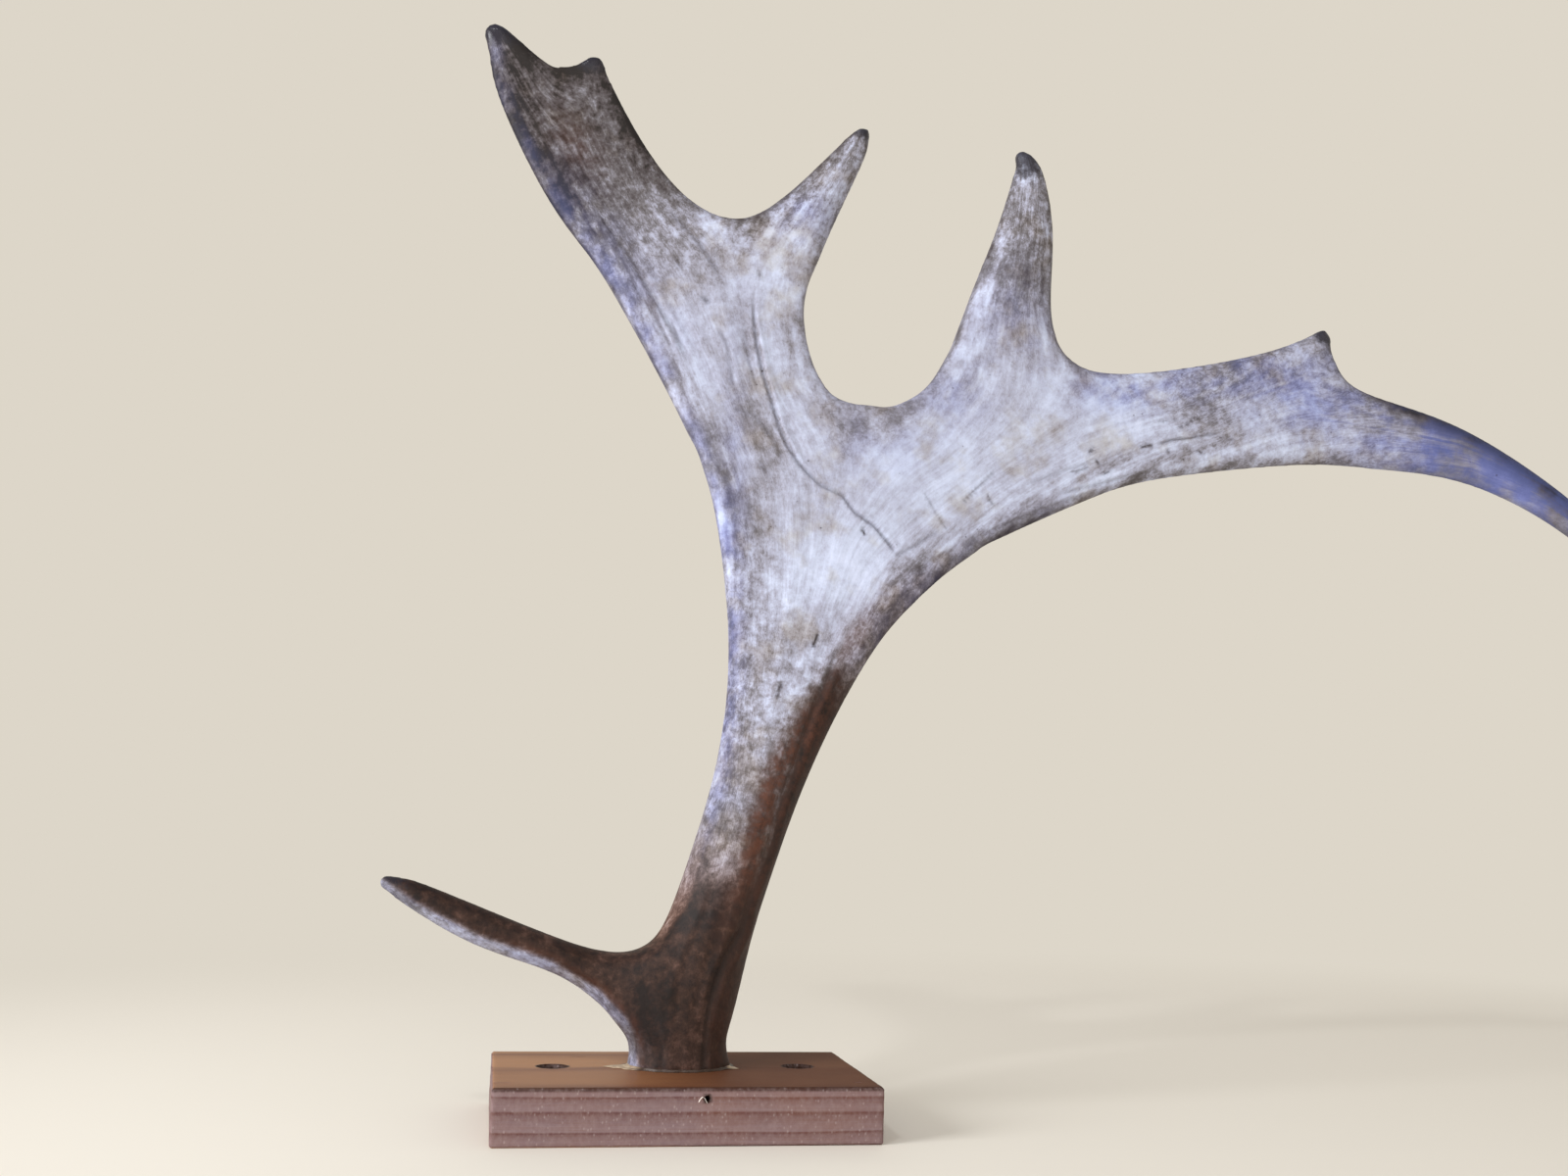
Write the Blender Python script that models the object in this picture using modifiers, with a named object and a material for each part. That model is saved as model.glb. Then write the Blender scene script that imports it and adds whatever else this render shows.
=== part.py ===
"""A palmate deer antler glued upright on a small varnished pine block.

Metres, +Z up. The origin is the centre of the block's underside. +X runs along the block's long side,
towards the antler's long branch. -Y is the antler's front.
"""

from math import atan2, hypot, tau

import bmesh
import bpy
from mathutils import Matrix, Vector

# Block: an offcut of 18 mm planed board, with two countersunk screw holes beside the antler.
BLOCK_LENGTH = 0.125
BLOCK_DEPTH = 0.079
BLOCK_THICKNESS = 0.018
ARRIS_RADIUS = 0.0012
HOLE_OFFSET = 0.0422
HOLE_BACK = 0.0046
COUNTERSINK_RADIUS = 0.0056
COUNTERSINK_DEPTH = 0.0042
COUNTERSINK_LIP = 0.001
SCREW_HOLE_RADIUS = 0.0026
SCREW_HOLE_SIDES = 24
ARRIS_SEGMENTS = 2
CUTTER_CLEARANCE = 0.001
WELD_DISTANCE = 0.00001

# Antler: where its foot stands, how far its limbs lean back, and how a limb's section is rounded.
GAP = 0.0003
GLUE_THICKNESS = 0.0006
FOOT_X = 0.0015
FOOT_Y = 0.0048
FOOT_Z = BLOCK_THICKNESS + GAP + GLUE_THICKNESS + GAP
LEAN_BACK = 0.020
LEAN_REACH = 0.350
SHOULDER_SHARE = 0.25
SHOULDER_IN_THICKNESSES = 0.75
SHOULDER_HEIGHT = 0.433
SEED_RADIUS = 0.01
FIT_ROUNDS = 14
SMOOTH_LEVELS = 2

# Each row is one section of a limb: the two edge points of its outline (x, z and x, z), its thickness,
# how far the face between the edges is hollowed towards the back, and how far it swings to the front.
# These rows are in millimetres.
MM = 0.001
STEM = [
    (-15.6, 6.0, 17.4, 6.0, 29.0, 0.0, 0.0),
    (-16.6, 21.0, 17.6, 22.0, 29.0, 0.0, 0.0),
    (-21.0, 31.6, 19.0, 34.5, 29.0, 0.0, 0.0),
    (-11.5, 58.4, 24.4, 58.5, 28.0, 0.0, 0.0),
    (-2.8, 74.0, 29.3, 76.0, 27.0, 0.0, 0.0),
    (3.6, 94.5, 36.2, 97.0, 25.0, 0.0, 0.5),
    (10.2, 120.0, 46.0, 122.5, 22.0, 0.0, 1.0),
    (13.8, 151.0, 61.5, 153.0, 18.0, 0.5, 1.0),
    (13.0, 182.0, 82.0, 183.0, 15.0, 2.0, 0.0),
    (7.6, 217.5, 61.5, 259.6, 13.5, 3.0, 0.0),
    (-1.6, 242.0, 46.2, 272.0, 13.0, 2.5, 0.0),
    (-14.7, 267.1, 40.8, 295.0, 13.0, 2.0, 0.0),
    (-28.0, 290.4, 43.6, 311.0, 13.0, 2.0, 0.0),
    (-42.0, 311.0, 12.6, 331.0, 12.5, 2.0, 0.0),
    (-59.0, 333.0, -13.6, 345.6, 12.0, 2.0, 0.0),
    (-77.9, 367.6, -36.4, 380.3, 11.5, 3.0, 1.5),
    (-83.2, 384.0, -55.8, 383.0, 10.0, 2.0, 2.5),
    (-85.5, 393.8, -72.6, 393.4, 8.0, 0.5, 3.5),
    (-84.2, 397.5, -79.0, 397.6, 4.0, 0.0, 4.0),
]
BROW_TINE = [
    (-30.3, 40.7, -25.5, 56.2, 18.0, 0.0, 0.5),
    (-46.0, 49.8, -43.5, 61.0, 14.0, 0.0, 4.0),
    (-70.0, 58.0, -71.0, 71.6, 12.0, 0.0, 9.0),
    (-92.0, 70.0, -93.4, 79.8, 8.5, 0.0, 13.5),
    (-101.8, 76.8, -101.4, 79.8, 3.5, 0.0, 15.0),
]
LEFT_TINE = [
    (50.0, 327.0, 28.5, 339.5, 13.0, 0.0, 0.5),
    (57.6, 346.1, 41.1, 351.6, 11.5, 0.0, 2.0),
    (64.3, 363.6, 55.2, 367.2, 8.0, 0.0, 4.5),
    (63.8, 369.6, 59.9, 371.3, 3.5, 0.0, 5.5),
]
LEFT_KNOB = [
    (-40.6, 389.2, -47.6, 388.6, 7.0, 0.0, 2.0),
]
RIGHT_BRANCH = [
    (108.1, 204.5, 82.0, 263.9, 14.0, 3.0, 0.0),
    (128.5, 216.6, 97.5, 281.0, 13.5, 2.5, 0.0),
    (160.0, 231.4, 152.0, 284.0, 13.5, 2.0, 0.0),
    (190.0, 241.0, 190.0, 285.6, 13.0, 1.5, 0.0),
    (239.0, 249.5, 236.0, 297.6, 12.0, 1.0, 0.0),
    (266.0, 251.1, 266.0, 289.6, 12.0, 0.5, 0.0),
    (289.4, 250.6, 286.4, 280.1, 12.0, 0.0, 1.0),
    (319.0, 247.2, 317.4, 270.6, 11.5, 0.0, 3.0),
    (348.5, 234.8, 350.0, 251.2, 10.5, 0.0, 7.0),
    (371.4, 218.1, 375.0, 229.2, 8.5, 0.0, 11.0),
    (390.6, 201.6, 392.6, 205.2, 3.5, 0.0, 15.0),
]
RIGHT_KNOB = [
    (254.6, 306.6, 260.8, 303.8, 6.5, 0.0, 0.5),
]
RIGHT_TINE = [
    (107.6, 310.0, 141.2, 304.6, 15.0, 0.0, 0.5),
    (118.0, 337.5, 141.6, 335.0, 12.5, 0.0, 1.8),
    (124.5, 362.0, 136.2, 361.0, 8.0, 0.0, 5.0),
    (126.2, 367.9, 130.2, 367.9, 3.5, 0.0, 6.0),
]

# The rows between which each side limb leaves the limb that carries it, counted along that limb.
BROW_TINE_FROM = 2
RIGHT_BRANCH_FROM = 8
LEFT_TINE_FROM = 12
LEFT_KNOB_FROM = 15
RIGHT_TINE_FROM = 1
RIGHT_KNOB_FROM = 4

# The forks where the antler is parted: each cut runs from one (x, z) to another, in millimetres.
FORK_CUTS = [
    (-27.5, 33.0, -14.0, 62.0),
    (-8.0, 234.0, 62.5, 266.5),
    (71.0, 265.5, 119.0, 201.0),
    (48.5, 305.5, 10.0, 335.5),
    (95.0, 286.0, 152.0, 290.5),
]
CUT_DEPTH = 0.09

# A point (x, z) well inside each piece, in millimetres, which tells the pieces apart once they are cut.
PIECES = {
    "main_beam": (45.0, 190.0),
    "brow_tine": (-70.0, 65.0),
    "left_branch": (-35.0, 330.0),
    "left_tine": (53.0, 350.0),
    "right_branch": (215.0, 268.0),
    "right_tine": (130.0, 335.0),
}

# How far the glue under the foot reaches, as (x, y) in millimetres: past the foot on the left and right.
GLUE_OUTLINE = [
    (-15.0, -2.0),
    (-9.0, -8.0),
    (1.5, -10.5),
    (12.0, -7.5),
    (17.5, -1.0),
    (22.5, 2.5),
    (22.0, 6.0),
    (18.0, 9.0),
    (11.0, 14.5),
    (1.5, 17.0),
    (-8.0, 14.0),
    (-14.5, 9.5),
    (-21.0, 9.0),
    (-26.0, 6.0),
    (-24.5, 2.5),
    (-19.0, 1.0),
]
GLUE_CURVE_STEPS = 2

ANTLER_COLOUR = (0.50, 0.46, 0.43, 1.0)
PINE_COLOUR = (0.42, 0.22, 0.12, 1.0)
GLUE_COLOUR = (0.62, 0.50, 0.33, 1.0)
ANTLER_ROUGHNESS = 0.5
GLUE_ROUGHNESS = 0.6
PINE_ROUGHNESS = 0.35


def clear_scene():
    for leftover in list(bpy.data.objects):
        bpy.data.objects.remove(leftover, do_unlink=True)


def new_collection(name):
    collection = bpy.data.collections.new(name)
    bpy.context.scene.collection.children.link(collection)
    return collection


def new_material(name, colour, roughness):
    material = bpy.data.materials.new(name)
    material.use_nodes = True
    shader = material.node_tree.nodes["Principled BSDF"]
    shader.inputs["Base Color"].default_value = colour
    shader.inputs["Roughness"].default_value = roughness
    shader.inputs["Metallic"].default_value = 0.0
    material.diffuse_color = colour
    return material


def object_from(shape, name, collection, material=None):
    """Makes a bmesh an object of its own."""
    mesh = bpy.data.meshes.new(name)
    shape.to_mesh(mesh)
    shape.free()
    made = bpy.data.objects.new(name, mesh)
    collection.objects.link(made)
    if material:
        mesh.materials.append(material)
    return made


def as_cutter(cutter):
    cutter.hide_render = True
    cutter.display_type = "WIRE"
    return cutter


def applied(target):
    """Replaces the object's mesh by the one that its modifiers give."""
    graph = bpy.context.evaluated_depsgraph_get()
    mesh = bpy.data.meshes.new_from_object(target.evaluated_get(graph))
    target.modifiers.clear()
    target.data = mesh


# The antler's cage


def smooth_step(share):
    share = min(max(share, 0.0), 1.0)
    return share * share * (3.0 - 2.0 * share)


def mid_depth(x, z):
    """How far back the antler's middle lies: it rises straight from the foot, leans back, then rises again."""
    return FOOT_Y + LEAN_BACK * smooth_step(hypot(x - FOOT_X, z - BLOCK_THICKNESS) / LEAN_REACH)


def section_points(row):
    """The six points of one section: its two edges, and a shoulder near each edge on the front and back."""
    near = Vector((row[0], 0.0, row[1])) * MM
    far = Vector((row[2], 0.0, row[3])) * MM
    thickness, hollow, swing = (value * MM for value in row[4:])
    width = (far - near).length
    inset = min(SHOULDER_SHARE, SHOULDER_IN_THICKNESSES * thickness / width)
    points = {}
    for side, share in (("near", inset), ("far", 1.0 - inset)):
        edge = near if side == "near" else far
        shoulder = near.lerp(far, share)
        points[side, "edge"] = Vector((edge.x, mid_depth(edge.x, edge.z) - swing, edge.z))
        middle = mid_depth(shoulder.x, shoulder.z) - swing + hollow
        points[side, "front"] = Vector((shoulder.x, middle - SHOULDER_HEIGHT * thickness, shoulder.z))
        points[side, "back"] = Vector((shoulder.x, middle + SHOULDER_HEIGHT * thickness, shoulder.z))
    return points


def patch_faces(ring):
    """The front and back face that close a ring, or that lie between two rings on the side a limb leaves."""
    found = []
    for side in ("front", "back"):
        corners = {ring["near", "edge"], ring["far", "edge"], ring["near", side], ring["far", side]}
        shared = set.intersection(*(set(corner.link_faces) for corner in corners))
        found.extend(shared)
    return found


def first_ring(cage, row):
    """A flat six-sided face, split from edge to edge, at the foot of the stem."""
    points = section_points(row)
    order = [
        ("near", "edge"),
        ("near", "front"),
        ("far", "front"),
        ("far", "edge"),
        ("far", "back"),
        ("near", "back"),
    ]
    disc = bmesh.ops.create_circle(cage, cap_ends=True, segments=len(order), radius=SEED_RADIUS)
    ring = dict(zip(order, disc["verts"]))
    bmesh.ops.connect_verts(cage, verts=[ring["near", "edge"], ring["far", "edge"]])
    for place, vertex in ring.items():
        vertex.co = points[place]
    return ring


def grow(cage, ring, rows, from_base=False):
    """Extrudes a limb out of a patch, one section for each row, and returns all its rings."""
    rings = [ring]
    for row in rows:
        patch = patch_faces(rings[-1])
        grown = bmesh.ops.extrude_face_region(cage, geom=patch)
        if len(rings) > 1 or not from_base:
            bmesh.ops.delete(cage, geom=patch, context="FACES")
        new = [part for part in grown["geom"] if isinstance(part, bmesh.types.BMVert)]
        following = {}
        for place, old in rings[-1].items():
            following[place] = min(new, key=lambda vertex: (vertex.co - old.co).length)
            new.remove(following[place])
        points = section_points(row)
        for place, vertex in following.items():
            vertex.co = points[place]
        rings.append(following)
    return rings


def side_patch(rings, start, side):
    """The patch on one side of a limb, between a ring and the next, from which a side limb grows."""
    low = rings[start]
    high = rings[start + 1]
    patch = {}
    for place in ("edge", "front", "back"):
        patch["near", place] = low[side, place]
        patch["far", place] = high[side, place]
    return patch


def limit_point(vertex):
    """Where the smoothed surface passes a corner of the cage."""
    count = len(vertex.link_edges)
    total = vertex.co * count * count
    for edge in vertex.link_edges:
        total += 4.0 * edge.other_vert(vertex).co
    for face in vertex.link_faces:
        neighbours = {edge.other_vert(vertex) for edge in vertex.link_edges}
        for corner in face.verts:
            if corner is not vertex and corner not in neighbours:
                total += corner.co
    return total / (count * (count + 5))


def fit_cage(cage):
    """Moves the cage's corners out until the smoothed surface passes through the places they were given."""
    wanted = {vertex: vertex.co.copy() for vertex in cage.verts}
    for _ in range(FIT_ROUNDS):
        moves = {vertex: wanted[vertex] - limit_point(vertex) for vertex in cage.verts}
        for vertex, move in moves.items():
            vertex.co += move


def antler_cage():
    cage = bmesh.new()
    stem = grow(cage, first_ring(cage, STEM[0]), STEM[1:], from_base=True)
    grow(cage, side_patch(stem, BROW_TINE_FROM, "near"), BROW_TINE)
    grow(cage, side_patch(stem, LEFT_TINE_FROM, "far"), LEFT_TINE)
    grow(cage, side_patch(stem, LEFT_KNOB_FROM, "far"), LEFT_KNOB)
    branch = grow(cage, side_patch(stem, RIGHT_BRANCH_FROM, "far"), RIGHT_BRANCH)
    grow(cage, side_patch(branch[1:], RIGHT_TINE_FROM, "far"), RIGHT_TINE)
    grow(cage, side_patch(branch[1:], RIGHT_KNOB_FROM, "far"), RIGHT_KNOB)
    bmesh.ops.recalc_face_normals(cage, faces=cage.faces)
    fit_cage(cage)
    return cage


def cut_foot_flat(antler):
    """Takes off what reaches below the glue, and closes the cut."""
    shape = bmesh.new()
    shape.from_mesh(antler.data)
    everything = list(shape.verts) + list(shape.edges) + list(shape.faces)
    cut = bmesh.ops.bisect_plane(
        shape,
        geom=everything,
        plane_co=(0.0, 0.0, FOOT_Z),
        plane_no=(0.0, 0.0, 1.0),
        clear_inner=True,
    )
    rim = [part for part in cut["geom_cut"] if isinstance(part, bmesh.types.BMEdge)]
    bmesh.ops.contextual_create(shape, geom=rim)
    bmesh.ops.recalc_face_normals(shape, faces=shape.faces)
    shape.to_mesh(antler.data)
    shape.free()


def fork_cutter(number, cut, collection):
    """A thin board standing across a fork, from front to back."""
    start = Vector((cut[0], 0.0, cut[1])) * MM
    end = Vector((cut[2], 0.0, cut[3])) * MM
    run = end - start
    shape = bmesh.new()
    size = Matrix.Diagonal((run.length, CUT_DEPTH, GAP, 1.0))
    bmesh.ops.create_cube(shape, size=1.0, matrix=size)
    cutter = object_from(shape, f"fork_cut_{number}", collection)
    middle = (start + end) / 2
    cutter.location = (middle.x, mid_depth(middle.x, middle.z), middle.z)
    cutter.rotation_euler.y = -atan2(run.z, run.x)
    return as_cutter(cutter)


def split_by_body(antler):
    """Gives each closed body of the mesh an object of its own."""
    bpy.ops.object.select_all(action="DESELECT")
    antler.select_set(True)
    bpy.context.view_layer.objects.active = antler
    bpy.ops.mesh.separate(type="LOOSE")
    return list(bpy.context.selected_objects)


def name_pieces(bodies):
    """Names each body after the marker point that lies nearest to one of its corners."""
    left = list(bodies)
    for name, (x, z) in PIECES.items():
        mark = Vector((x * MM, mid_depth(x * MM, z * MM), z * MM))
        nearest = min(left, key=lambda body: min((point.co - mark).length for point in body.data.vertices))
        nearest.name = name
        nearest.data.name = name
        left.remove(nearest)


def make_antler(parts, cutters, material):
    antler = object_from(antler_cage(), "antler", parts, material)
    smooth = antler.modifiers.new("smooth_form", "SUBSURF")
    smooth.levels = SMOOTH_LEVELS
    smooth.render_levels = SMOOTH_LEVELS
    applied(antler)
    cut_foot_flat(antler)
    for number, cut in enumerate(FORK_CUTS, 1):
        kerf = antler.modifiers.new(f"fork_{number}", "BOOLEAN")
        kerf.operation = "DIFFERENCE"
        kerf.solver = "EXACT"
        kerf.object = fork_cutter(number, cut, cutters)
    bpy.context.view_layer.update()
    applied(antler)
    bodies = split_by_body(antler)
    for body in bodies:
        body.data.shade_smooth()
    name_pieces(bodies)


# The glue and the block


def make_glue(parts, material):
    """The film of glue under the foot, with what was squeezed out past it."""
    curve = bpy.data.curves.new("glue_outline", "CURVE")
    curve.dimensions = "2D"
    curve.fill_mode = "BOTH"
    curve.extrude = GLUE_THICKNESS / 2
    curve.resolution_u = GLUE_CURVE_STEPS
    spline = curve.splines.new("BEZIER")
    spline.bezier_points.add(len(GLUE_OUTLINE) - 1)
    spline.use_cyclic_u = True
    for point, (x, y) in zip(spline.bezier_points, GLUE_OUTLINE):
        point.co = (x * MM, y * MM, 0.0)
        point.handle_left_type = "AUTO"
        point.handle_right_type = "AUTO"
    drawn = bpy.data.objects.new("glue_outline", curve)
    parts.objects.link(drawn)
    bpy.context.view_layer.update()
    graph = bpy.context.evaluated_depsgraph_get()
    mesh = bpy.data.meshes.new_from_object(drawn.evaluated_get(graph))
    shape = bmesh.new()
    shape.from_mesh(mesh)
    bmesh.ops.remove_doubles(shape, verts=shape.verts, dist=WELD_DISTANCE)
    bmesh.ops.recalc_face_normals(shape, faces=shape.faces)
    bpy.data.objects.remove(drawn, do_unlink=True)
    glue = object_from(shape, "glue_bed", parts, material)
    glue.location.z = BLOCK_THICKNESS + GAP + GLUE_THICKNESS / 2


def screw_hole_cutter(side, cutters):
    """A countersink over a screw hole that runs right through the block."""
    profile = [
        (SCREW_HOLE_RADIUS, -CUTTER_CLEARANCE),
        (SCREW_HOLE_RADIUS, BLOCK_THICKNESS - COUNTERSINK_DEPTH),
        (COUNTERSINK_RADIUS, BLOCK_THICKNESS - COUNTERSINK_LIP),
        (COUNTERSINK_RADIUS, BLOCK_THICKNESS + CUTTER_CLEARANCE),
    ]
    shape = bmesh.new()
    ring = [shape.verts.new((0.0, 0.0, profile[0][1]))]
    ring.extend(shape.verts.new((radius, 0.0, height)) for radius, height in profile)
    ring.append(shape.verts.new((0.0, 0.0, profile[-1][1])))
    for start, end in zip(ring, ring[1:]):
        shape.edges.new((start, end))
    bmesh.ops.spin(
        shape,
        geom=list(shape.verts) + list(shape.edges),
        cent=(0.0, 0.0, 0.0),
        axis=(0.0, 0.0, 1.0),
        angle=tau,
        steps=SCREW_HOLE_SIDES,
        use_merge=True,
    )
    bmesh.ops.remove_doubles(shape, verts=shape.verts, dist=WELD_DISTANCE)
    bmesh.ops.recalc_face_normals(shape, faces=shape.faces)
    cutter = object_from(shape, f"screw_hole_{side}", cutters)
    cutter.location = (HOLE_OFFSET if side == "right" else -HOLE_OFFSET, HOLE_BACK, 0.0)
    return as_cutter(cutter)


def make_block(parts, cutters, material):
    shape = bmesh.new()
    size = Matrix.Diagonal((BLOCK_LENGTH, BLOCK_DEPTH, BLOCK_THICKNESS, 1.0))
    bmesh.ops.create_cube(shape, size=1.0, matrix=size)
    block = object_from(shape, "mounting_block", parts, material)
    block.location.z = BLOCK_THICKNESS / 2
    arris = block.modifiers.new("rounded_arrises", "BEVEL")
    arris.width = ARRIS_RADIUS
    arris.segments = ARRIS_SEGMENTS
    for side in ("left", "right"):
        hole = block.modifiers.new(f"screw_hole_{side}", "BOOLEAN")
        hole.operation = "DIFFERENCE"
        hole.solver = "EXACT"
        hole.object = screw_hole_cutter(side, cutters)


def main():
    clear_scene()
    parts = new_collection("deer_antler")
    cutters = new_collection("cutters")
    make_antler(parts, cutters, new_material("antler", ANTLER_COLOUR, ANTLER_ROUGHNESS))
    make_glue(parts, new_material("dried_glue", GLUE_COLOUR, GLUE_ROUGHNESS))
    make_block(parts, cutters, new_material("varnished_pine", PINE_COLOUR, PINE_ROUGHNESS))


main()
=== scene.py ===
import math
from functools import partial

import bpy
import numpy as np
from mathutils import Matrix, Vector


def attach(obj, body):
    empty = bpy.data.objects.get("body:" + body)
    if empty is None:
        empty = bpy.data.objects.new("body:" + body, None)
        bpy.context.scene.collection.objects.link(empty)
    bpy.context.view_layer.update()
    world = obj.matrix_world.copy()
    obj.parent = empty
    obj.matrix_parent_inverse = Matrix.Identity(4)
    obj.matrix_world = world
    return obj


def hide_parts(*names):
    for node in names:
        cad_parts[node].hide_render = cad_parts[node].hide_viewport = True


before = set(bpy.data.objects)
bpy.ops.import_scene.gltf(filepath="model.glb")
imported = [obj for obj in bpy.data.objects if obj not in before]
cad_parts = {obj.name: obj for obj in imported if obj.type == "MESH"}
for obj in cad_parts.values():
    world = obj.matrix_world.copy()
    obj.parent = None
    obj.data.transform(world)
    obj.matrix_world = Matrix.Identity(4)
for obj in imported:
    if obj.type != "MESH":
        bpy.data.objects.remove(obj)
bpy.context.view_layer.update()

mm = 0.001


# Small helpers

def makeActive(obj):
    bpy.ops.object.select_all(action="DESELECT")
    obj.select_set(True)
    bpy.context.view_layer.objects.active = obj


def applyModifier(obj, kind, **settings):
    makeActive(obj)
    modifier = obj.modifiers.new(kind.title(), kind)
    for name, value in settings.items():
        setattr(modifier, name, value)
    bpy.ops.object.modifier_apply(modifier=modifier.name)


def applyPlace(obj):
    makeActive(obj)
    bpy.ops.object.transform_apply(location=True, rotation=True, scale=True)


def joined(objects, name):
    makeActive(objects[0])
    for obj in objects:
        obj.select_set(True)
    bpy.ops.object.join()
    whole = bpy.context.object
    whole.name = name
    whole.data.name = name
    return whole


def editAll(obj):
    makeActive(obj)
    bpy.ops.object.mode_set(mode="EDIT")
    bpy.ops.mesh.select_all(action="SELECT")


def leaveEdit():
    bpy.ops.object.mode_set(mode="OBJECT")


def faceOutwards():
    bpy.ops.mesh.select_all(action="SELECT")
    bpy.ops.mesh.normals_make_consistent(inside=False)
    leaveEdit()


def newDisc(name, count, radius, place=(0, 0, 0), turn=(0, 0, 0)):
    # a many-sided disc in edit mode, ready to be extruded
    bpy.ops.object.select_all(action="DESELECT")
    bpy.ops.mesh.primitive_circle_add(vertices=count, radius=radius, fill_type="NGON",
                                      location=place, rotation=turn)
    disc = bpy.context.object
    disc.name = name
    applyPlace(disc)
    editAll(disc)
    return disc


def extrude(run):
    bpy.ops.mesh.extrude_region_move(TRANSFORM_OT_translate={"value": run})


def pointsOf(obj, field="co"):
    # where the points of a mesh are, or with "normal" which way each of them faces
    flat = np.empty(len(obj.data.vertices) * 3, np.float32)
    obj.data.vertices.foreach_get(field, flat)
    return flat.reshape(-1, 3).astype(float)


def movePoints(obj, points):
    obj.data.vertices.foreach_set("co", points.astype(np.float32).ravel())
    obj.data.update()


def setMask(obj, name, values):
    attribute = obj.data.attributes.new(name, "FLOAT", "POINT")
    attribute.data.foreach_set("value", values.astype(np.float32))


def softStep(low, high, value):
    share = np.clip((value - low) / (high - low), 0.0, 1.0)
    return share * share * (3.0 - 2.0 * share)


def bell(distance, width):
    return np.exp(-((distance / width) ** 2))


def distanceTo(x, z, line):
    nearest = np.full(len(x), 1e9)
    for (ax, az), (bx, bz) in zip(line, line[1:]):
        runX, runZ = bx - ax, bz - az
        share = np.clip(((x - ax) * runX + (z - az) * runZ) / (runX**2 + runZ**2), 0, 1)
        nearest = np.minimum(nearest, np.hypot(x - ax - share * runX, z - az - share * runZ))
    return nearest


def linearColour(hexColour):
    levels = [int(hexColour[i : i + 2], 16) / 255 for i in (1, 3, 5)]
    return [v / 12.92 if v <= 0.04045 else ((v + 0.055) / 1.055) ** 2.4 for v in levels] + [1.0]


def fillInputs(node, values):
    # values come alone, in the order of the inputs or by name; a socket is linked, and text is a colour
    sockets = [socket for socket in node.inputs if socket.enabled]
    if isinstance(values, dict):
        sockets = [node.inputs[name] for name in values]
        values = tuple(values.values())
    for socket, value in zip(sockets, values if isinstance(values, tuple) else (values,)):
        if isinstance(value, bpy.types.NodeSocket):
            node.id_data.links.new(value, socket)
        else:
            socket.default_value = linearColour(value) if isinstance(value, str) else value


def addNode(tree, kind, values=(), output=None, stops=(), **settings):
    # the kind is followed by the operation or data type, and the first output is returned unless one is named
    kind, *choice = kind.split()
    node = tree.nodes.new("ShaderNode" + kind)
    if choice:
        settings["data_type" if kind == "Mix" else "operation"] = choice[0]
    for name, value in settings.items():
        setattr(node, name, value)
    for place, hexColour in stops[2:]:
        node.color_ramp.elements.new(place)
    for number, (place, hexColour) in enumerate(stops):
        node.color_ramp.elements[number].position = place
        node.color_ramp.elements[number].color = linearColour(hexColour)
    fillInputs(node, values)
    return node.outputs[output] if output else next(socket for socket in node.outputs if socket.enabled)


def newMaterial(name):
    # comes with its shader and with addNode for its own tree
    material = bpy.data.materials.new(name)
    material.use_nodes = True
    return material, material.node_tree.nodes["Principled BSDF"], partial(addNode, material.node_tree)


def wear(obj, material):
    obj.data.materials.clear()
    obj.data.materials.append(material)


# Antler: the frame's six limbs, joined without their gaps and carved

antlerShape = {  # millimetres
    "limbs": ["main_beam", "brow_tine", "left_branch", "left_tine", "right_branch", "right_tine"],
    "swell": 0.5,  # closes the gaps between the limbs, and is taken off again
    "spacing": 1.26,
    "seams": [  # (x, z) where two limbs meet
        [(-27.5, 33), (-14, 62)],
        [(-8, 234), (62.5, 266.5), (71, 265.5), (119, 201)],
        [(48.5, 305.5), (10, 335.5)],
        [(95, 286), (152, 290.5)],
    ],
    "seamPasses": [(8.0, 4), (5.5, 6), (3.5, 10)],  # reach, and how many times it is smoothed
    "beads": [  # the tips end in small rounded beads: middle (x, z) and radius
        ((-81.3, 393.9), 3.7),
        ((-43.2, 386.8), 3.4),
        ((62.3, 369.6), 2.7),
        ((127.2, 366.4), 3.0),
        ((258.2, 303.4), 3.9),
        ((392.3, 202.6), 2.3),
        ((-100.2, 78.5), 2.2),
    ],
    "footMiddle": (1.5, 3.5),
    "footTop": 26,  # below this the antler is drawn down into the glue
    "footBottom": 18.25,
    "footFlare": 0.5,  # and widens by so much
    "furrowPasses": [2.0, 0.45],  # the widest furrows that each pass makes finer
    "furrowReach": 2.6,  # in half widths of a furrow
    # long low flutes along the growth lines: how many across, where they start, how they drift, how high
    "flutes": [(3.0, 0.4, 0.6, 0.16), (7.0, 2.1, -0.8, 0.09), (12.0, 4.0, 1.3, 0.05), (19.0, 1.2, -1.9, 0.03)],
}
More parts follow.
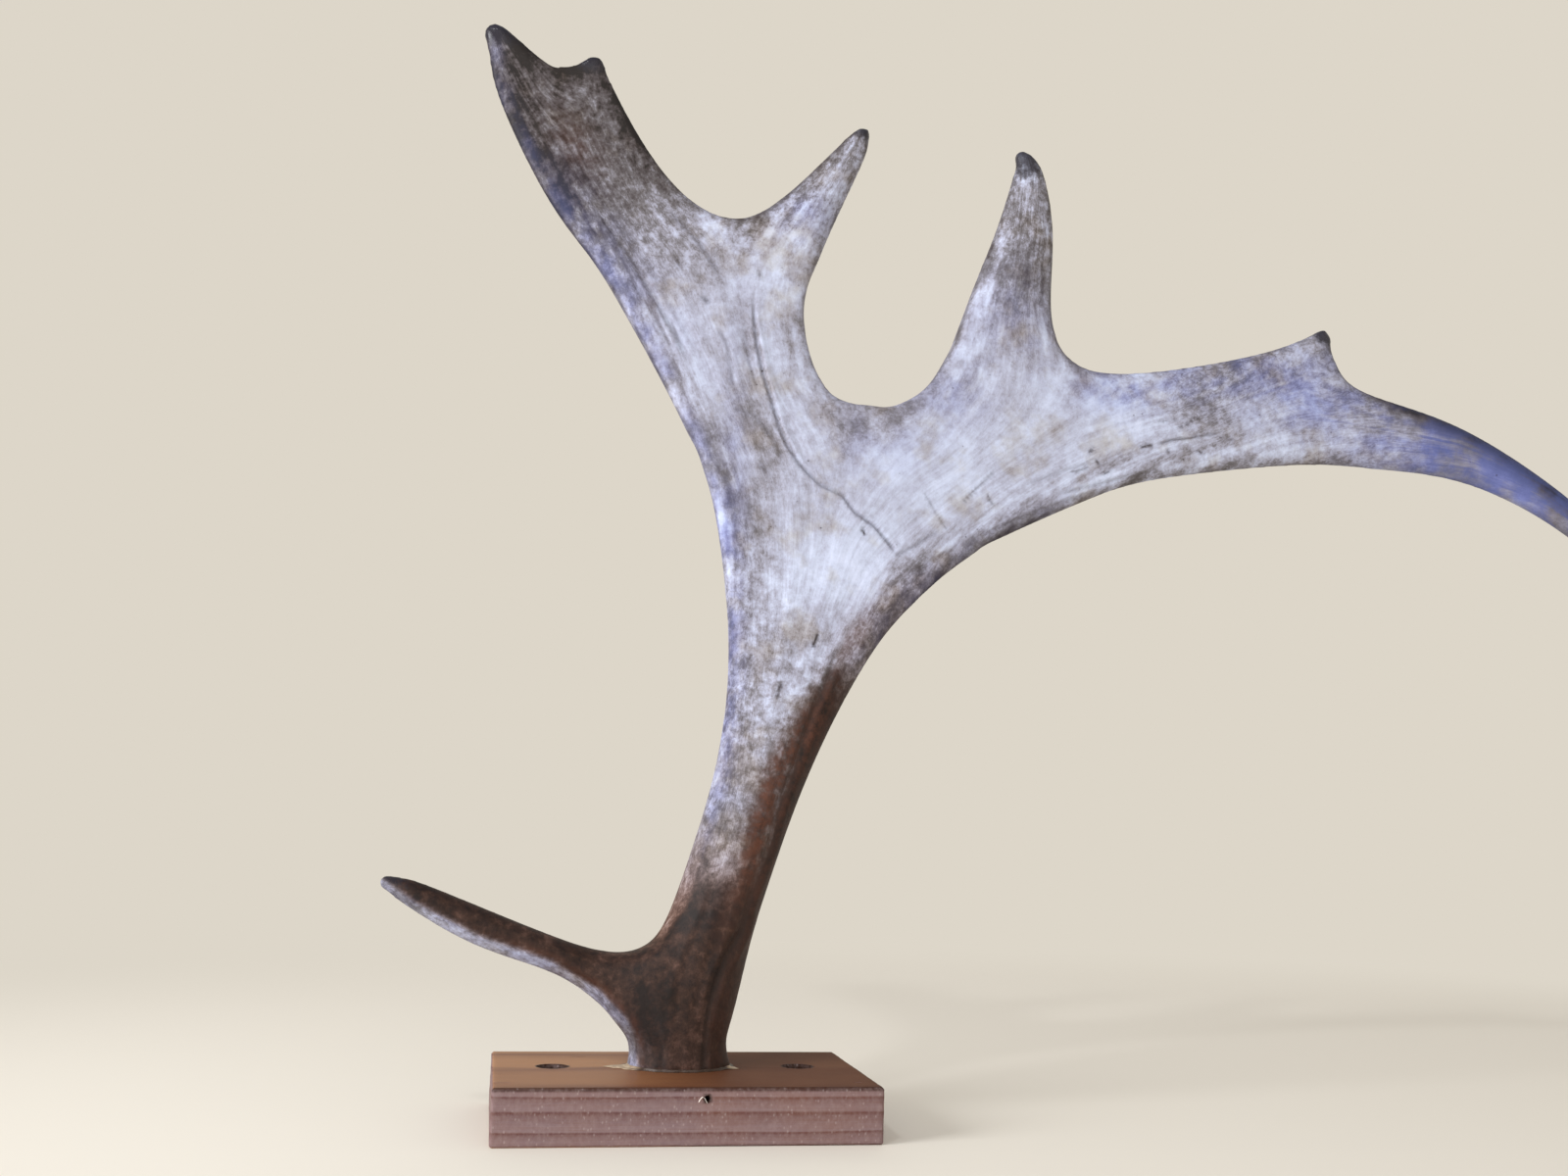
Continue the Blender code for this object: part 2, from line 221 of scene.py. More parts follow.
# The antler's outline as (x, z) in millimetres. Growth lines run along it, and each stretch has its own number
# for them, rising from the left edge to the right.
outline = {
    "browUnder": (-0.3, [(-16, 19), (-17, 24), (-21, 31.6), (-30.3, 40.7), (-46, 49.8), (-70, 58),
        (-92, 70), (-102, 77)]),
    "beamLeft": (0.0, [(-102, 79.5), (-93.4, 79.8), (-71, 71.6), (-43.5, 61), (-25.5, 56.2), (-11.5, 58.4),
        (-2.8, 74), (3.6, 94.5), (10.2, 120), (13.8, 151), (13, 182), (7.6, 217.5), (-1.6, 242),
        (-14.7, 267), (-28, 290.4), (-42, 311), (-59, 333), (-77.9, 367.6), (-83.2, 384), (-85, 396)]),
    "leftInner": (0.38, [(-79, 397.6), (-72.6, 393.4), (-55.8, 383), (-47.6, 388.6), (-40.6, 389.2),
        (-36.4, 380.3), (-13.6, 345.6), (12.6, 331), (28.5, 339.5), (41.1, 351.6), (55.2, 367.2),
        (59.9, 371.3)]),
    "crotch": (0.5, [(63.8, 369.6), (64.3, 363.6), (57.6, 346.1), (50, 327), (43.6, 311), (40.8, 295),
        (46.2, 272), (61.5, 259.6), (82, 264), (97.5, 281), (107.6, 310), (118, 337.5), (124.5, 362),
        (126.2, 367.9)]),
    "rightUpper": (0.72, [(130.2, 367.9), (136.2, 361), (141.6, 335), (141.2, 304.6), (152, 284),
        (190, 285.6), (236, 297.6), (254.6, 306.6), (260.8, 303.8), (266, 289.6), (286.4, 280.1),
        (317.4, 270.6), (350, 251.2), (375, 229.2), (392.6, 205.2)]),
    "beamRight": (1.0, [(17.4, 18), (17.6, 22), (19, 34.5), (24.4, 58.5), (29.3, 76), (36.2, 97),
        (46, 122.5), (61.5, 153), (82, 183), (108.1, 204.5), (128.5, 216.6), (160, 231.4), (190, 241),
        (239, 249.5), (266, 251.1), (289.4, 250.6), (319, 247.2), (348.5, 234.8), (371.4, 218.1),
        (391.6, 203)]),
}
# Furrows in the front of the antler: (x, z) in millimetres, half width, depth, height of the raised lip,
# how dark they are inside, and how far from its two ends a furrow fades out
furrows = {
    "vein": ([(20.5, 304), (21.1, 289.7), (22.4, 280.8), (24.9, 269.3), (27.7, 261.1), (31.8, 248.4),
        (34.8, 241.7), (39.8, 234.3), (47.3, 227.2), (56, 223.6), (60.9, 217.1), (68.5, 212.3),
        (73.8, 206.5), (76.8, 202.2)], 0.7, 0.75, 0.34, 0.5, (18, 4)),
    "veinRidge": ([(23.3, 290), (24.6, 281), (27.2, 269.8), (30, 261.6), (34, 249.2), (37.2, 242.4),
        (41.6, 235.4)], 1.3, -0.34, 0.0, 0.0, (10, 6)),
    "veinHollow": ([(17.5, 292), (19.3, 276), (20.5, 262), (24.8, 253), (30, 243.6), (36.4, 234.6)],
        4.2, 0.55, 0.0, 0.0, (12, 8)),
    "sideVein": ([(12, 254.6), (17, 254.1), (21.9, 252.9), (25.7, 249.1), (30.7, 242.1), (34, 234)],
        0.8, 0.3, 0.1, 0.3, (5, 6)),
    "veinFork": ([(75.8, 201), (83.8, 205.7), (89.2, 209.5), (96, 213.5)], 0.55, 0.25, 0.05, 0.5, (2, 8)),
    "paleRidge": ([(77.2, 203), (74.9, 197.6), (72.5, 192.5), (69, 186)], 0.8, -0.28, 0.0, 0.0, (2, 6)),
    "besideVein": ([(17.2, 288), (19.6, 273), (23, 262.5)], 0.7, 0.2, 0.05, 0.3, (5, 5)),
    "armLine": ([(-41.8, 332), (-35.9, 323.5), (-28.1, 313.6), (-21.1, 302.4), (-17.1, 295.7), (-14, 290.1),
        (-8.6, 282), (-5.4, 275.3), (-2.6, 269)], 1.1, 0.5, 0.24, 0.5, (12, 12)),
    "armShortLine": ([(-13.9, 332.9), (-7.3, 326.4), (-0.4, 319), (4.7, 311.5), (8.7, 305.2)],
        1.1, 0.42, 0.16, 0.45, (8, 8)),
    "armFaintLine": ([(6.1, 287.2), (10.8, 279.7), (13.3, 268.3), (14.2, 260.7)],
        0.9, 0.26, 0.14, 0.3, (6, 6)),
    "armLeftLine": ([(-27.8, 305.8), (-22, 296.5), (-16.1, 287.3), (-8.3, 273.6)],
        0.8, 0.26, 0.1, 0.35, (8, 8)),
    "armSpot": ([(1.4, 297), (2.9, 295.6)], 0.8, 0.3, 0.1, 0.9, (0.6, 0.6)),
    "armSpotLeft": ([(-9.5, 311.8), (-7.9, 308.8)], 0.7, 0.16, 0.0, 0.7, (0.6, 0.8)),
    "tineSpot": ([(22.2, 309.6), (23.4, 307.4)], 0.7, 0.16, 0.0, 0.6, (0.6, 0.8)),
    "palmSpot": ([(24.9, 233.3), (27.2, 229.6)], 0.9, 0.16, 0.0, 0.7, (0.8, 1.2)),
    "palmSpotLow": ([(22.6, 210.1), (23.8, 206.4)], 0.7, 0.16, 0.0, 0.6, (1, 1)),
    "beamGroove": ([(61, 172), (53.3, 162.8), (48.6, 151.7), (44.2, 141.5), (40.6, 130.8), (37.2, 119.6),
        (31.9, 108.1), (29.2, 92.8), (25.8, 84.3), (21.8, 74.3), (20.2, 64.3), (15.3, 57.2), (11.7, 49.4),
        (9.5, 41.6), (7.8, 33.9), (7.7, 18)], 1.5, 0.62, 0.22, 0.55, (24, 0.5)),
    "footFold": ([(21, 68), (17.5, 60), (13.6, 53.5), (10.8, 46), (9.2, 38)], 1.7, 0.45, 0.35, 0.25, (7, 8)),
    "scratch": ([(87.8, 227.1), (92.4, 219.3), (97.4, 212)], 0.35, 0.12, 0.0, 0.4, (1, 2)),
    "longScratch": ([(103, 224), (110.2, 231.5), (116.6, 237.8)], 0.35, 0.12, 0.0, 0.6, (1, 2)),
    "nick": ([(46.6, 170.2), (44.8, 165.3)], 0.45, 0.6, 0.06, 1.6, (1, 0.3)),
    "smallNick": ([(32.3, 150.9), (31.5, 148)], 0.4, 0.4, 0.03, 1.5, (0.5, 0.3)),
    "tinyNick": ([(31.4, 147), (30.9, 145.6)], 0.35, 0.3, 0.02, 1.2, (0.3, 0.3)),
    "pit": ([(63.7, 210.6), (64.4, 208.9)], 0.4, 0.4, 0.03, 1.2, (0.3, 0.3)),
    "crackFirst": ([(176.2, 251.4), (179.1, 252.4), (182.4, 252.6)], 0.4, 0.3, 0.04, 1.2, (1.5, 1.5)),
    "crackTop": ([(183.4, 262.7), (189.6, 263.5), (195.1, 264.8)], 0.3, 0.16, 0.02, 0.6, (2, 1)),
    "crackHook": ([(192.5, 260.6), (197.1, 262.9), (200.1, 265.6), (202.6, 264.6)],
        0.3, 0.2, 0.02, 0.9, (1, 1)),
    "crackLong": ([(183, 253), (189.5, 255.5), (197.9, 257), (209.7, 259.9)], 0.4, 0.22, 0.04, 0.8, (4, 1.5)),
    "crackThin": ([(209.7, 258.3), (217.8, 257.8)], 0.3, 0.16, 0.02, 0.8, (1, 3)),
    "crackLow": ([(146.2, 239.2), (151, 240.3), (155.1, 242.2)], 0.35, 0.2, 0.03, 0.7, (2, 1)),
    "speckA": ([(155.2, 248.2), (156.9, 249.5)], 0.45, 0.25, 0.0, 1.4, (0.3, 0.6)),
    "speckB": ([(158, 244.8), (159.2, 243.3)], 0.5, 0.2, 0.0, 1.0, (0.4, 0.4)),
    "speckC": ([(160.9, 239.6), (163.8, 241)], 0.45, 0.2, 0.0, 1.0, (0.6, 0.6)),
    "speckD": ([(201.3, 252.1), (203, 251.1)], 0.4, 0.2, 0.0, 1.0, (0.4, 0.4)),
    "speckE": ([(187.8, 251.5), (188.7, 250.3)], 0.35, 0.15, 0.0, 0.8, (0.3, 0.3)),
    "hook": ([(113.3, 227.8), (114.1, 225.6), (116, 223.8)], 0.35, 0.15, 0.0, 0.7, (0.4, 0.8)),
    "edgeLineA": ([(140, 229.4), (154.4, 234), (171.1, 239.3), (187.8, 244.1)], 0.7, 0.24, 0.1, 0.35, (8, 8)),
    "edgeLineB": ([(126, 231.8), (142.1, 238.9), (158.4, 244.8)], 0.6, 0.16, 0.06, 0.3, (8, 6)),
    "edgeLineC": ([(100.2, 206.5), (110.1, 211.6), (126, 219.5), (142.3, 226.4), (160, 233)],
        0.8, 0.3, 0.12, 0.4, (8, 10)),
    "edgeLineD": ([(80, 193.5), (91, 200.5), (103, 207.6)], 0.9, 0.3, 0.1, 0.3, (6, 5)),
}


def furrowAt(x, z, furrow, spread=1.0):
    # how deep a point lies in a furrow, from 0 to 1, and how far up its lip
    line, halfWidth = furrow[:2]
    fadeFirst, fadeLast = furrow[5]
    away = distanceTo(x, z, line) / (halfWidth * spread)
    fade = softStep(0, fadeFirst, np.hypot(x - line[0][0], z - line[0][1]))
    fade = fade * softStep(0, fadeLast, np.hypot(x - line[-1][0], z - line[-1][1]))
    return np.exp(-(away**2)) * fade, np.exp(-((away - 2.0) ** 2) * 1.5) * fade


def joinedLimbs():
    copies = []
    for name in antlerShape["limbs"]:
        copy = bpy.data.objects.new(name + "_copy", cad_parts[name].data.copy())
        bpy.context.collection.objects.link(copy)
        copies.append(copy)
    whole = joined(copies, "antler")
    editAll(whole)
    bpy.ops.mesh.remove_doubles(threshold=0.01 * mm)
    bpy.ops.mesh.tris_convert_to_quads(face_threshold=math.radians(40), shape_threshold=math.radians(60))
    bpy.ops.mesh.select_all(action="DESELECT")
    bpy.ops.mesh.select_mode(type="EDGE")
    bpy.ops.mesh.edges_select_sharp(sharpness=math.radians(50))
    bpy.ops.transform.edge_crease(value=1.0)
    bpy.ops.mesh.select_mode(type="VERT")
    leaveEdit()
    applyModifier(whole, "SUBSURF", levels=2, render_levels=2)
    place = pointsOf(whole) / mm
    beads = []
    for (beadX, beadZ), radius in antlerShape["beads"]:
        nearby = place[np.hypot(place[:, 0] - beadX, place[:, 2] - beadZ) < 5]
        beadY = (nearby[:, 1].min() + nearby[:, 1].max()) / 2
        bpy.ops.object.select_all(action="DESELECT")
        bpy.ops.mesh.primitive_uv_sphere_add(segments=24, ring_count=12, radius=radius * mm,
                                             location=(beadX * mm, beadY * mm, beadZ * mm))
        applyPlace(bpy.context.object)
        beads.append(bpy.context.object)
    whole = joined([whole] + beads, "antler")
    swell = antlerShape["swell"] * mm
    applyModifier(whole, "DISPLACE", strength=swell, mid_level=0.0)
    applyModifier(whole, "REMESH", mode="VOXEL", voxel_size=antlerShape["spacing"] * mm, adaptivity=0.0)
    applyModifier(whole, "SMOOTH", factor=0.5, iterations=6)
    applyModifier(whole, "DISPLACE", strength=-0.9 * swell, mid_level=0.0)
    return whole


def selectPoints(obj, chosen):
    editAll(obj)
    bpy.ops.mesh.select_all(action="DESELECT")
    leaveEdit()
    obj.data.vertices.foreach_set("select", chosen)
    bpy.ops.object.mode_set(mode="EDIT")


def smoothPoints(obj, chosen, times):
    selectPoints(obj, chosen)
    bpy.ops.mesh.vertices_smooth(factor=0.5, repeat=times)
    leaveEdit()


def smoothSeams(obj):
    place = pointsOf(obj) / mm
    away = np.minimum.reduce([distanceTo(place[:, 0], place[:, 2], seam) for seam in antlerShape["seams"]])
    for reach, times in antlerShape["seamPasses"]:
        smoothPoints(obj, away < reach, times)


def blendBeads(obj):
    place = pointsOf(obj) / mm
    for (beadX, beadZ), radius in antlerShape["beads"]:
        away = np.hypot(place[:, 0] - beadX, place[:, 2] - beadZ)
        smoothPoints(obj, (away > radius * 1.1) & (away < radius * 2.6), 5)


def lowerFoot(obj):
    place = pointsOf(obj) / mm
    top = antlerShape["footTop"]
    lowest = place[:, 2].min()
    share = np.clip((top - place[:, 2]) / (top - lowest), 0, 1)
    place[:, 2] -= share * (lowest - antlerShape["footBottom"])
    flare = antlerShape["footFlare"] * share**4
    away = place[:, :2] - np.array(antlerShape["footMiddle"])
    place[:, :2] += away / np.maximum(np.hypot(away[:, 0], away[:, 1]), 1)[:, None] * flare[:, None]
    movePoints(obj, place * mm)


def refineFurrows(obj, widest):
    place = pointsOf(obj) / mm
    front = pointsOf(obj, "normal")[:, 1] < 0.25
    near = np.zeros(len(place), bool)
    for furrow in furrows.values():
        line, halfWidth = furrow[:2]
        if halfWidth <= widest:
            near |= distanceTo(place[:, 0], place[:, 2], line) < antlerShape["furrowReach"] * halfWidth
    selectPoints(obj, near & front)
    bpy.ops.mesh.subdivide(number_cuts=1, smoothness=0.0)
    # faces with a corner on a straight side are split up, so that none of them folds flat
    bpy.ops.mesh.select_all(action="SELECT")
    bpy.ops.mesh.quads_convert_to_tris(quad_method="BEAUTY", ngon_method="BEAUTY")
    leaveEdit()


def growthOf(x, z):
    total = np.zeros(len(x))
    weights = np.zeros(len(x))
    distances = {}
    for name, (number, line) in outline.items():
        distances[name] = distanceTo(x, z, line)
        weight = 1.0 / (distances[name] + 0.3) ** 2
        total += weight * number
        weights += weight
    return total / weights, distances


def carveAntler(obj):
    place = pointsOf(obj) / mm
    normal = pointsOf(obj, "normal")
    x, z = place[:, 0], place[:, 2]
    growth, edges = growthOf(x, z)
    front = softStep(0.35, -0.1, normal[:, 1])
    move = np.zeros(len(x))
    for furrow in furrows.values():
        inside, lip = furrowAt(x, z, furrow)
        move += front * (furrow[3] * lip - furrow[2] * inside)
    fade = softStep(1.0, 6.0, np.minimum.reduce(list(edges.values())))
    for number, (count, phase, drift, height) in enumerate(antlerShape["flutes"]):
        wave = count * growth * math.tau + phase + drift * z / 100 + 0.9 * np.sin(x / 37 + number)
        move += fade * height * np.sin(wave)
    movePoints(obj, (place + normal * move[:, None]) * mm)


antler = joinedLimbs()
smoothSeams(antler)
blendBeads(antler)
lowerFoot(antler)
for widest in antlerShape["furrowPasses"]:
    refineFurrows(antler, widest)
carveAntler(antler)
antler.data.shade_smooth()
print("antler carved:", len(antler.data.polygons), "faces")


# Antler's colour, painted as masks on its points. Places are (x, z) in millimetres.

tips = {  # place and how far the dark, polished tip reaches
    "leftBranch": ((-81, 397), 13),
    "leftKnob": ((-44.5, 388.5), 9),
    "leftTine": ((63, 371), 8),
    "rightTine": ((128.5, 368), 18.5),
    "rightKnob": ((258, 305), 8),
    "rightBranch": ((393, 203), 40),
    "browTine": ((-103, 80), 14),
}
clouds = {  # soft patches: place, radii, turn in degrees, and how much darker they make the antler
    "rightTineMiddle": ((125, 316), (12, 17), 8, 0.32),
    "rightTineUpper": ((127, 340), (14, 26), 0, 0.16),
    "rightTineBase": ((122, 292), (16, 10), 0, 0.05),
    "beamCloud": ((8, 72), (12, 8), 20, 0.12),
    "footOlive": ((-12, 33), (11, 16), 0, 0.14),
    # painted shade of the hollow beside the vein
    "besideVein": ((25, 246), (7, 20), 28, 0.24),
    "underArmSpot": ((19.5, 280), (3, 8), 5, 0.16),
    "beamMiddle": ((9, 100), (14, 16), 0, 0.11),
    "aboveVeinFork": ((84, 196), (9, 6), 30, 0.22),
    "palmLeft": ((23, 208), (7, 26), 5, 0.16),
    "palmLow": ((30, 165), (6, 22), 5, 0.06),
    "underCrotch": ((68, 251), (17, 9), 5, 0.25),
    "leftArmLow": ((-6, 303), (14, 16), 0, 0.10),
    "rightBranchTop": ((215, 283), (34, 8), 12, 0.14),
    "rightBranchMiddle": ((202, 269), (18, 11), 8, 0.2),
    "leftArmLine": ((-34, 322), (6, 30), 35, 0.07),
    "leftArmMiddle": ((-30, 340), (10, 16), 20, 0.05),
    "leftTineMiddle": ((46, 330), (14, 12), 0, 0.06),
    "flankTop": ((69, 176), (4.5, 16), -35, 0.18),
}
palePatches = {  # the same, for patches that are paler
    "palmCentre": ((62, 190), (16, 26), -20, 0.12),
    "palmUpper": ((88, 238), (26, 16), 10, 0.10),
    "palePatch": ((10, 88), (5, 8), -10, 0.12),
    "warmColumn": ((6, 36), (5, 12), 0, 0.10),
    "rightBranchBelow": ((178, 258), (30, 7), 12, 0.08),
    "leftTine": ((48, 343), (8, 20), -25, 0.08),
    "rightBranchRoot": ((152, 258), (14, 10), 10, 0.06),
    "leftEdge": ((-26, 300), (5, 18), 32, 0.04),
    # a painted highlight along the far right branch
    "farSheen": ((330, 248), (22, 4.5), -33, 0.17),
    "leftTip": ((-80, 388), (5, 10), 20, 0.14),
}
# bluish violet: partly the bone's own tint, partly a painted sheen of reflected sky, strongest on the far right
# branch and the left rim
violets = {
    "rightBranchTop": ((212, 284), (40, 10), 12, 0.65),
    "rightKnobBase": ((245, 275), (22, 16), 0, 0.45),
    "rightBranchFar": ((322, 252), (60, 16), -22, 1.4),
    "rightBranchEnd": ((372, 223), (28, 16), -42, 0.85),
    "rightTineLow": ((124, 300), (16, 20), 0, 0.3),
    "tineBase": ((168, 276), (18, 9), 0, 0.6),
    "crotchRight": ((100, 268), (14, 12), 30, 0.4),
    "leftArm": ((-32, 311), (9, 40), 36, 0.3),
    "leftTine": ((40, 335), (14, 8), 40, 0.4),
    "leftEdge": ((14, 190), (6, 70), 0, 0.45),
    "palm": ((70, 246), (20, 14), 0, 0.25),
}
rusts = {
    "leftArmSpots": ((-50, 354), (8, 14), 35, 0.22),
    "beamUpper": ((60, 169), (3.5, 12), -33, 0.3),
}
rustBand = [(52, 155), (47.2, 147), (37.7, 128.9), (29.2, 113.1), (25.9, 99.4), (21.4, 82.6), (17.6, 69.3),
            (13.7, 59.5)]
creams = {
    "tineBase": ((38, 303), (10, 20), 0, 0.7),
    "palmTop": ((26, 262), (16, 16), 0, 0.5),
    "palmRight": ((112, 262), (22, 12), 20, 0.45),
    "rightBranch": ((176, 254), (40, 7), 10, 0.7),
    "palmEdge": ((112, 226), (24, 8), 30, 0.4),
    "palmFoot": ((46, 176), (14, 24), -25, 0.5),
    "beam": ((24, 130), (12, 26), -10, 0.45),
    "rightTineFoot": ((132, 300), (12, 10), 0, 0.4),
    "leftTine": ((50, 352), (7, 16), -35, 0.5),
    "beamLow": ((7, 96), (10, 24), -12, 0.7),
    "beamMiddle": ((16, 124), (10, 18), -12, 0.5),
}


def patches(x, z, listed):
    total = np.zeros(len(x))
    for (middleX, middleZ), (radiusX, radiusZ), turn, strength in listed.values():
        angle = math.radians(turn)
        along = (x - middleX) * math.cos(angle) + (z - middleZ) * math.sin(angle)
        across = (z - middleZ) * math.cos(angle) - (x - middleX) * math.sin(angle)
        total += strength * np.exp(-((along / radiusX) ** 2) - (across / radiusZ) ** 2)
    return total


def paintAntler(obj):
    place = pointsOf(obj) / mm
    x, z = place[:, 0], place[:, 2]
    toRight, toBack, toTop = pointsOf(obj, "normal").T
    growth, edges = growthOf(x, z)
    edge = np.minimum.reduce(list(edges.values()))
    fromLeft = edges["beamLeft"]
    fromRight = edges["beamRight"]
    fromUnder = edges["browUnder"]

    # the antler's regions, each 1 inside and fading to 0
    foot = softStep(112, 66, z + 0.35 * x)
    beam = softStep(200, 150, z) * softStep(110, 70, x)
    brow = softStep(-22, -40, x) * softStep(120, 100, z)
    palm = softStep(188, 215, z) * softStep(328, 296, z) * softStep(170, 135, x)
    leftArm = softStep(0.0, 0.72, (-0.615 * x + 0.788 * (z - 290)) / 127)
    leftTine = softStep(318, 345, z - 0.6 * (x - 40)) * softStep(5, 20, x) * softStep(90, 70, x)
    tineTops = softStep(315, 345, z) * softStep(5, 20, x)
    rightArm = softStep(160, 400, x)
    farEnd = softStep(265, 320, x)  # smooth and even
    low = np.clip(foot + brow, 0, 1)
    aboveFoot = 1 - foot
    # the flat right side of the beam, behind the long furrow, darker and browner: partly its own brown, partly
    # painted shade, as it faces away from the window lamp
    grooveX, grooveZ = np.array(sorted(furrows["beamGroove"][0], key=lambda point: point[1])).T
    pastGroove = x - np.interp(z, grooveZ, grooveX)
    flank = softStep(-0.5, 1.6, pastGroove) * softStep(168, 128, z) * softStep(0.75, 0.2, toBack)

    # bands along the outline
    leftBand = bell(fromLeft - 6.5, 5) * softStep(90, 120, z) * (1 - brow)
    leftRim = bell(fromLeft - 2.5, 2.8) * (1 - brow) * softStep(60, 110, z)
    palmEdge = bell(fromLeft - 2.5, 4) * softStep(195, 225, z) * softStep(350, 320, z)
    rightBand = bell(fromRight, 6) * softStep(140, 175, z + 0.1 * x)
    lowEdge = bell(fromRight, 6 + 6 * softStep(100, 60, x)) * softStep(150, 172, z) * softStep(165, 118, x)
    bevelBand = bell(fromRight, 3.4) * softStep(95, 118, x) * softStep(300, 220, x)
    alongEdge = bell(fromRight, 12) * softStep(85, 110, x) * softStep(240, 175, x)
    upperBand = bell(np.minimum(edges["rightUpper"], edges["leftInner"]), 4)
    farEdge = bell(edges["rightUpper"], 6.5) * softStep(258, 300, x)
    innerEdge = bell(edges["leftInner"], 6) * softStep(20, -10, x)
    crotchEdge = bell(edges["crotch"], 9) * softStep(305, 285, z) * softStep(105, 80, x)
    alongRust = bell(distanceTo(x, z, rustBand), 5.2)

    # the underside of the brow tine and the left side of the foot are paler: partly bleached bone, partly
    # painted light from the left and below
    paleWidth = 3.9 - 1.2 * softStep(-60, -100, x) - 2.0 * softStep(34, 19, z)
    seenBelow = softStep(0.5, 0.0, toBack)
    under = softStep(paleWidth + 1.3, paleWidth - 0.9, fromUnder) * seenBelow * softStep(-6, -12, x)
    underRim = bell(fromUnder - paleWidth - 1.4, 1.3) * seenBelow * softStep(-8, -16, x)
    rimWidth = 1.6 + 2.2 * bell(z - 74, 14)
    leftPale = softStep(rimWidth + 1.2, rimWidth - 1, fromLeft) * softStep(56, 66, z)
    leftPale *= softStep(-36, -12, x + 200 * (z > 150))
    # paler on the sides that face left and down: partly bleached bone, partly painted light bounced up from
    # below
    bleachAndUnderLight = softStep(0.5, 0.95, -0.74 * toRight - 0.15 * toBack - 0.65 * toTop) * softStep(130, 70, z)
    pale = np.maximum(under, bleachAndUnderLight * 0.8)

    rust = 0.9 * alongRust * softStep(45, 100, z) * softStep(168, 126, z) + 0.25 * flank
    # how dark the antler is: each region and band with its share
    stain = 0.24 + 0.02 * palm + 0.58 * foot + 0.54 * leftArm + 0.12 * leftTine
    stain += 0.20 * rightArm + 0.14 * farEnd
    stain += 0.11 * leftBand + 0.08 * palmEdge + 0.04 * rightBand + 0.26 * lowEdge + 0.24 * bevelBand
    stain += 0.14 * upperBand + 0.55 * farEdge + 0.16 * innerEdge + 0.14 * crotchEdge
    stain -= 0.10 * rightArm * bell(fromRight, 6)
    # the flank's darkening is partly painted shade
    stain += aboveFoot * (0.50 * flank + 0.61 * brow + 0.11 * softStep(185, 130, z))
    stain += aboveFoot * (0.50 * np.clip(rust, 0, 1) + 0.24 * alongRust * softStep(126, 152, z))
    # painted shade: the sides that face left are darker against the window lamp's light, those that face right
    # a little darker as they face away from it, and those that face back a little darker too
    leftFacingShade = 0.14 + 0.12 * softStep(205, 240, z) * softStep(355, 325, z)
    stain += leftFacingShade * softStep(0.4, 0.88, -toRight) * softStep(110, 150, z)
    stain += 0.10 * softStep(0.2, 0.8, toRight) * softStep(100, 130, z) + 0.10 * softStep(0.2, 0.9, toBack)
    stain = np.clip(stain + patches(x, z, clouds) - patches(x, z, palePatches), 0, 1)
    lifted = 0.44 - 0.20 * softStep(-60, -100, x) - 0.14 * softStep(60, 30, z)
    # lighter where the bone is bleached and where light from the left and below is painted
    stain -= pale * (0.06 + lifted * low) + leftPale * (0.04 + 0.30 * foot)

    rust += 0.4 * underRim * (1 - under) * softStep(-85, -40, x) + patches(x, z, rusts)
    brown = np.clip(foot + brow + 0.9 * flank + 0.7 * np.clip(rust, 0, 1), 0, 1) * (1 - pale)
    brown += 0.35 * lowEdge * softStep(110, 70, x)
    violet = patches(x, z, violets) + 0.12 * palmEdge + 0.34 * leftRim + 0.22 * pale + 0.3 * lowEdge
    # the painted sheen is weaker on the sides that face back, and on the brown parts
    violet *= (1 - 0.6 * softStep(0.0, 0.6, toBack)) * (1 - 0.6 * np.clip(brown, 0, 1))
    # the furrows are darker inside: painted shade in the creases, and dirt in the cracks, nicks and specks
    dirt = np.zeros(len(x))
    for furrow in furrows.values():
        dirt = np.maximum(dirt, furrow[4] * furrowAt(x, z, furrow, 1.15)[0])
    tip = np.zeros(len(x))
    for (tipX, tipZ), reach in tips.values():
        tip = np.maximum(tip, 1 - np.hypot(x - tipX, z - tipZ) / reach)
    streak = 0.3 + 0.6 * softStep(18, 5, edge) + 0.4 * (lowEdge + alongEdge + leftArm * softStep(372, 345, z))
    streak *= (1 - 0.85 * foot) * (1 - 0.6 * beam) * (1 - 0.9 * rightArm)

    setMask(obj, "calm", farEnd + 0.42 * palm - 0.5 * leftArm - 0.4 * tineTops)
    setMask(obj, "marble", beam * (1 - 0.3 * foot))
    setMask(obj, "growth", growth)
    setMask(obj, "stain", stain)
    setMask(obj, "tip", tip * (1 - 0.8 * under))
    setMask(obj, "rust", rust)
    setMask(obj, "violet", violet)
    setMask(obj, "dirt", np.clip(dirt, 0, 1) * softStep(0.35, -0.1, toBack))
    setMask(obj, "streak", np.clip(streak, 0, 1.2))
    setMask(obj, "brown", brown)
    setMask(obj, "cream", np.clip(patches(x, z, creams), 0, 1))


paintAntler(antler)
print("antler painted")

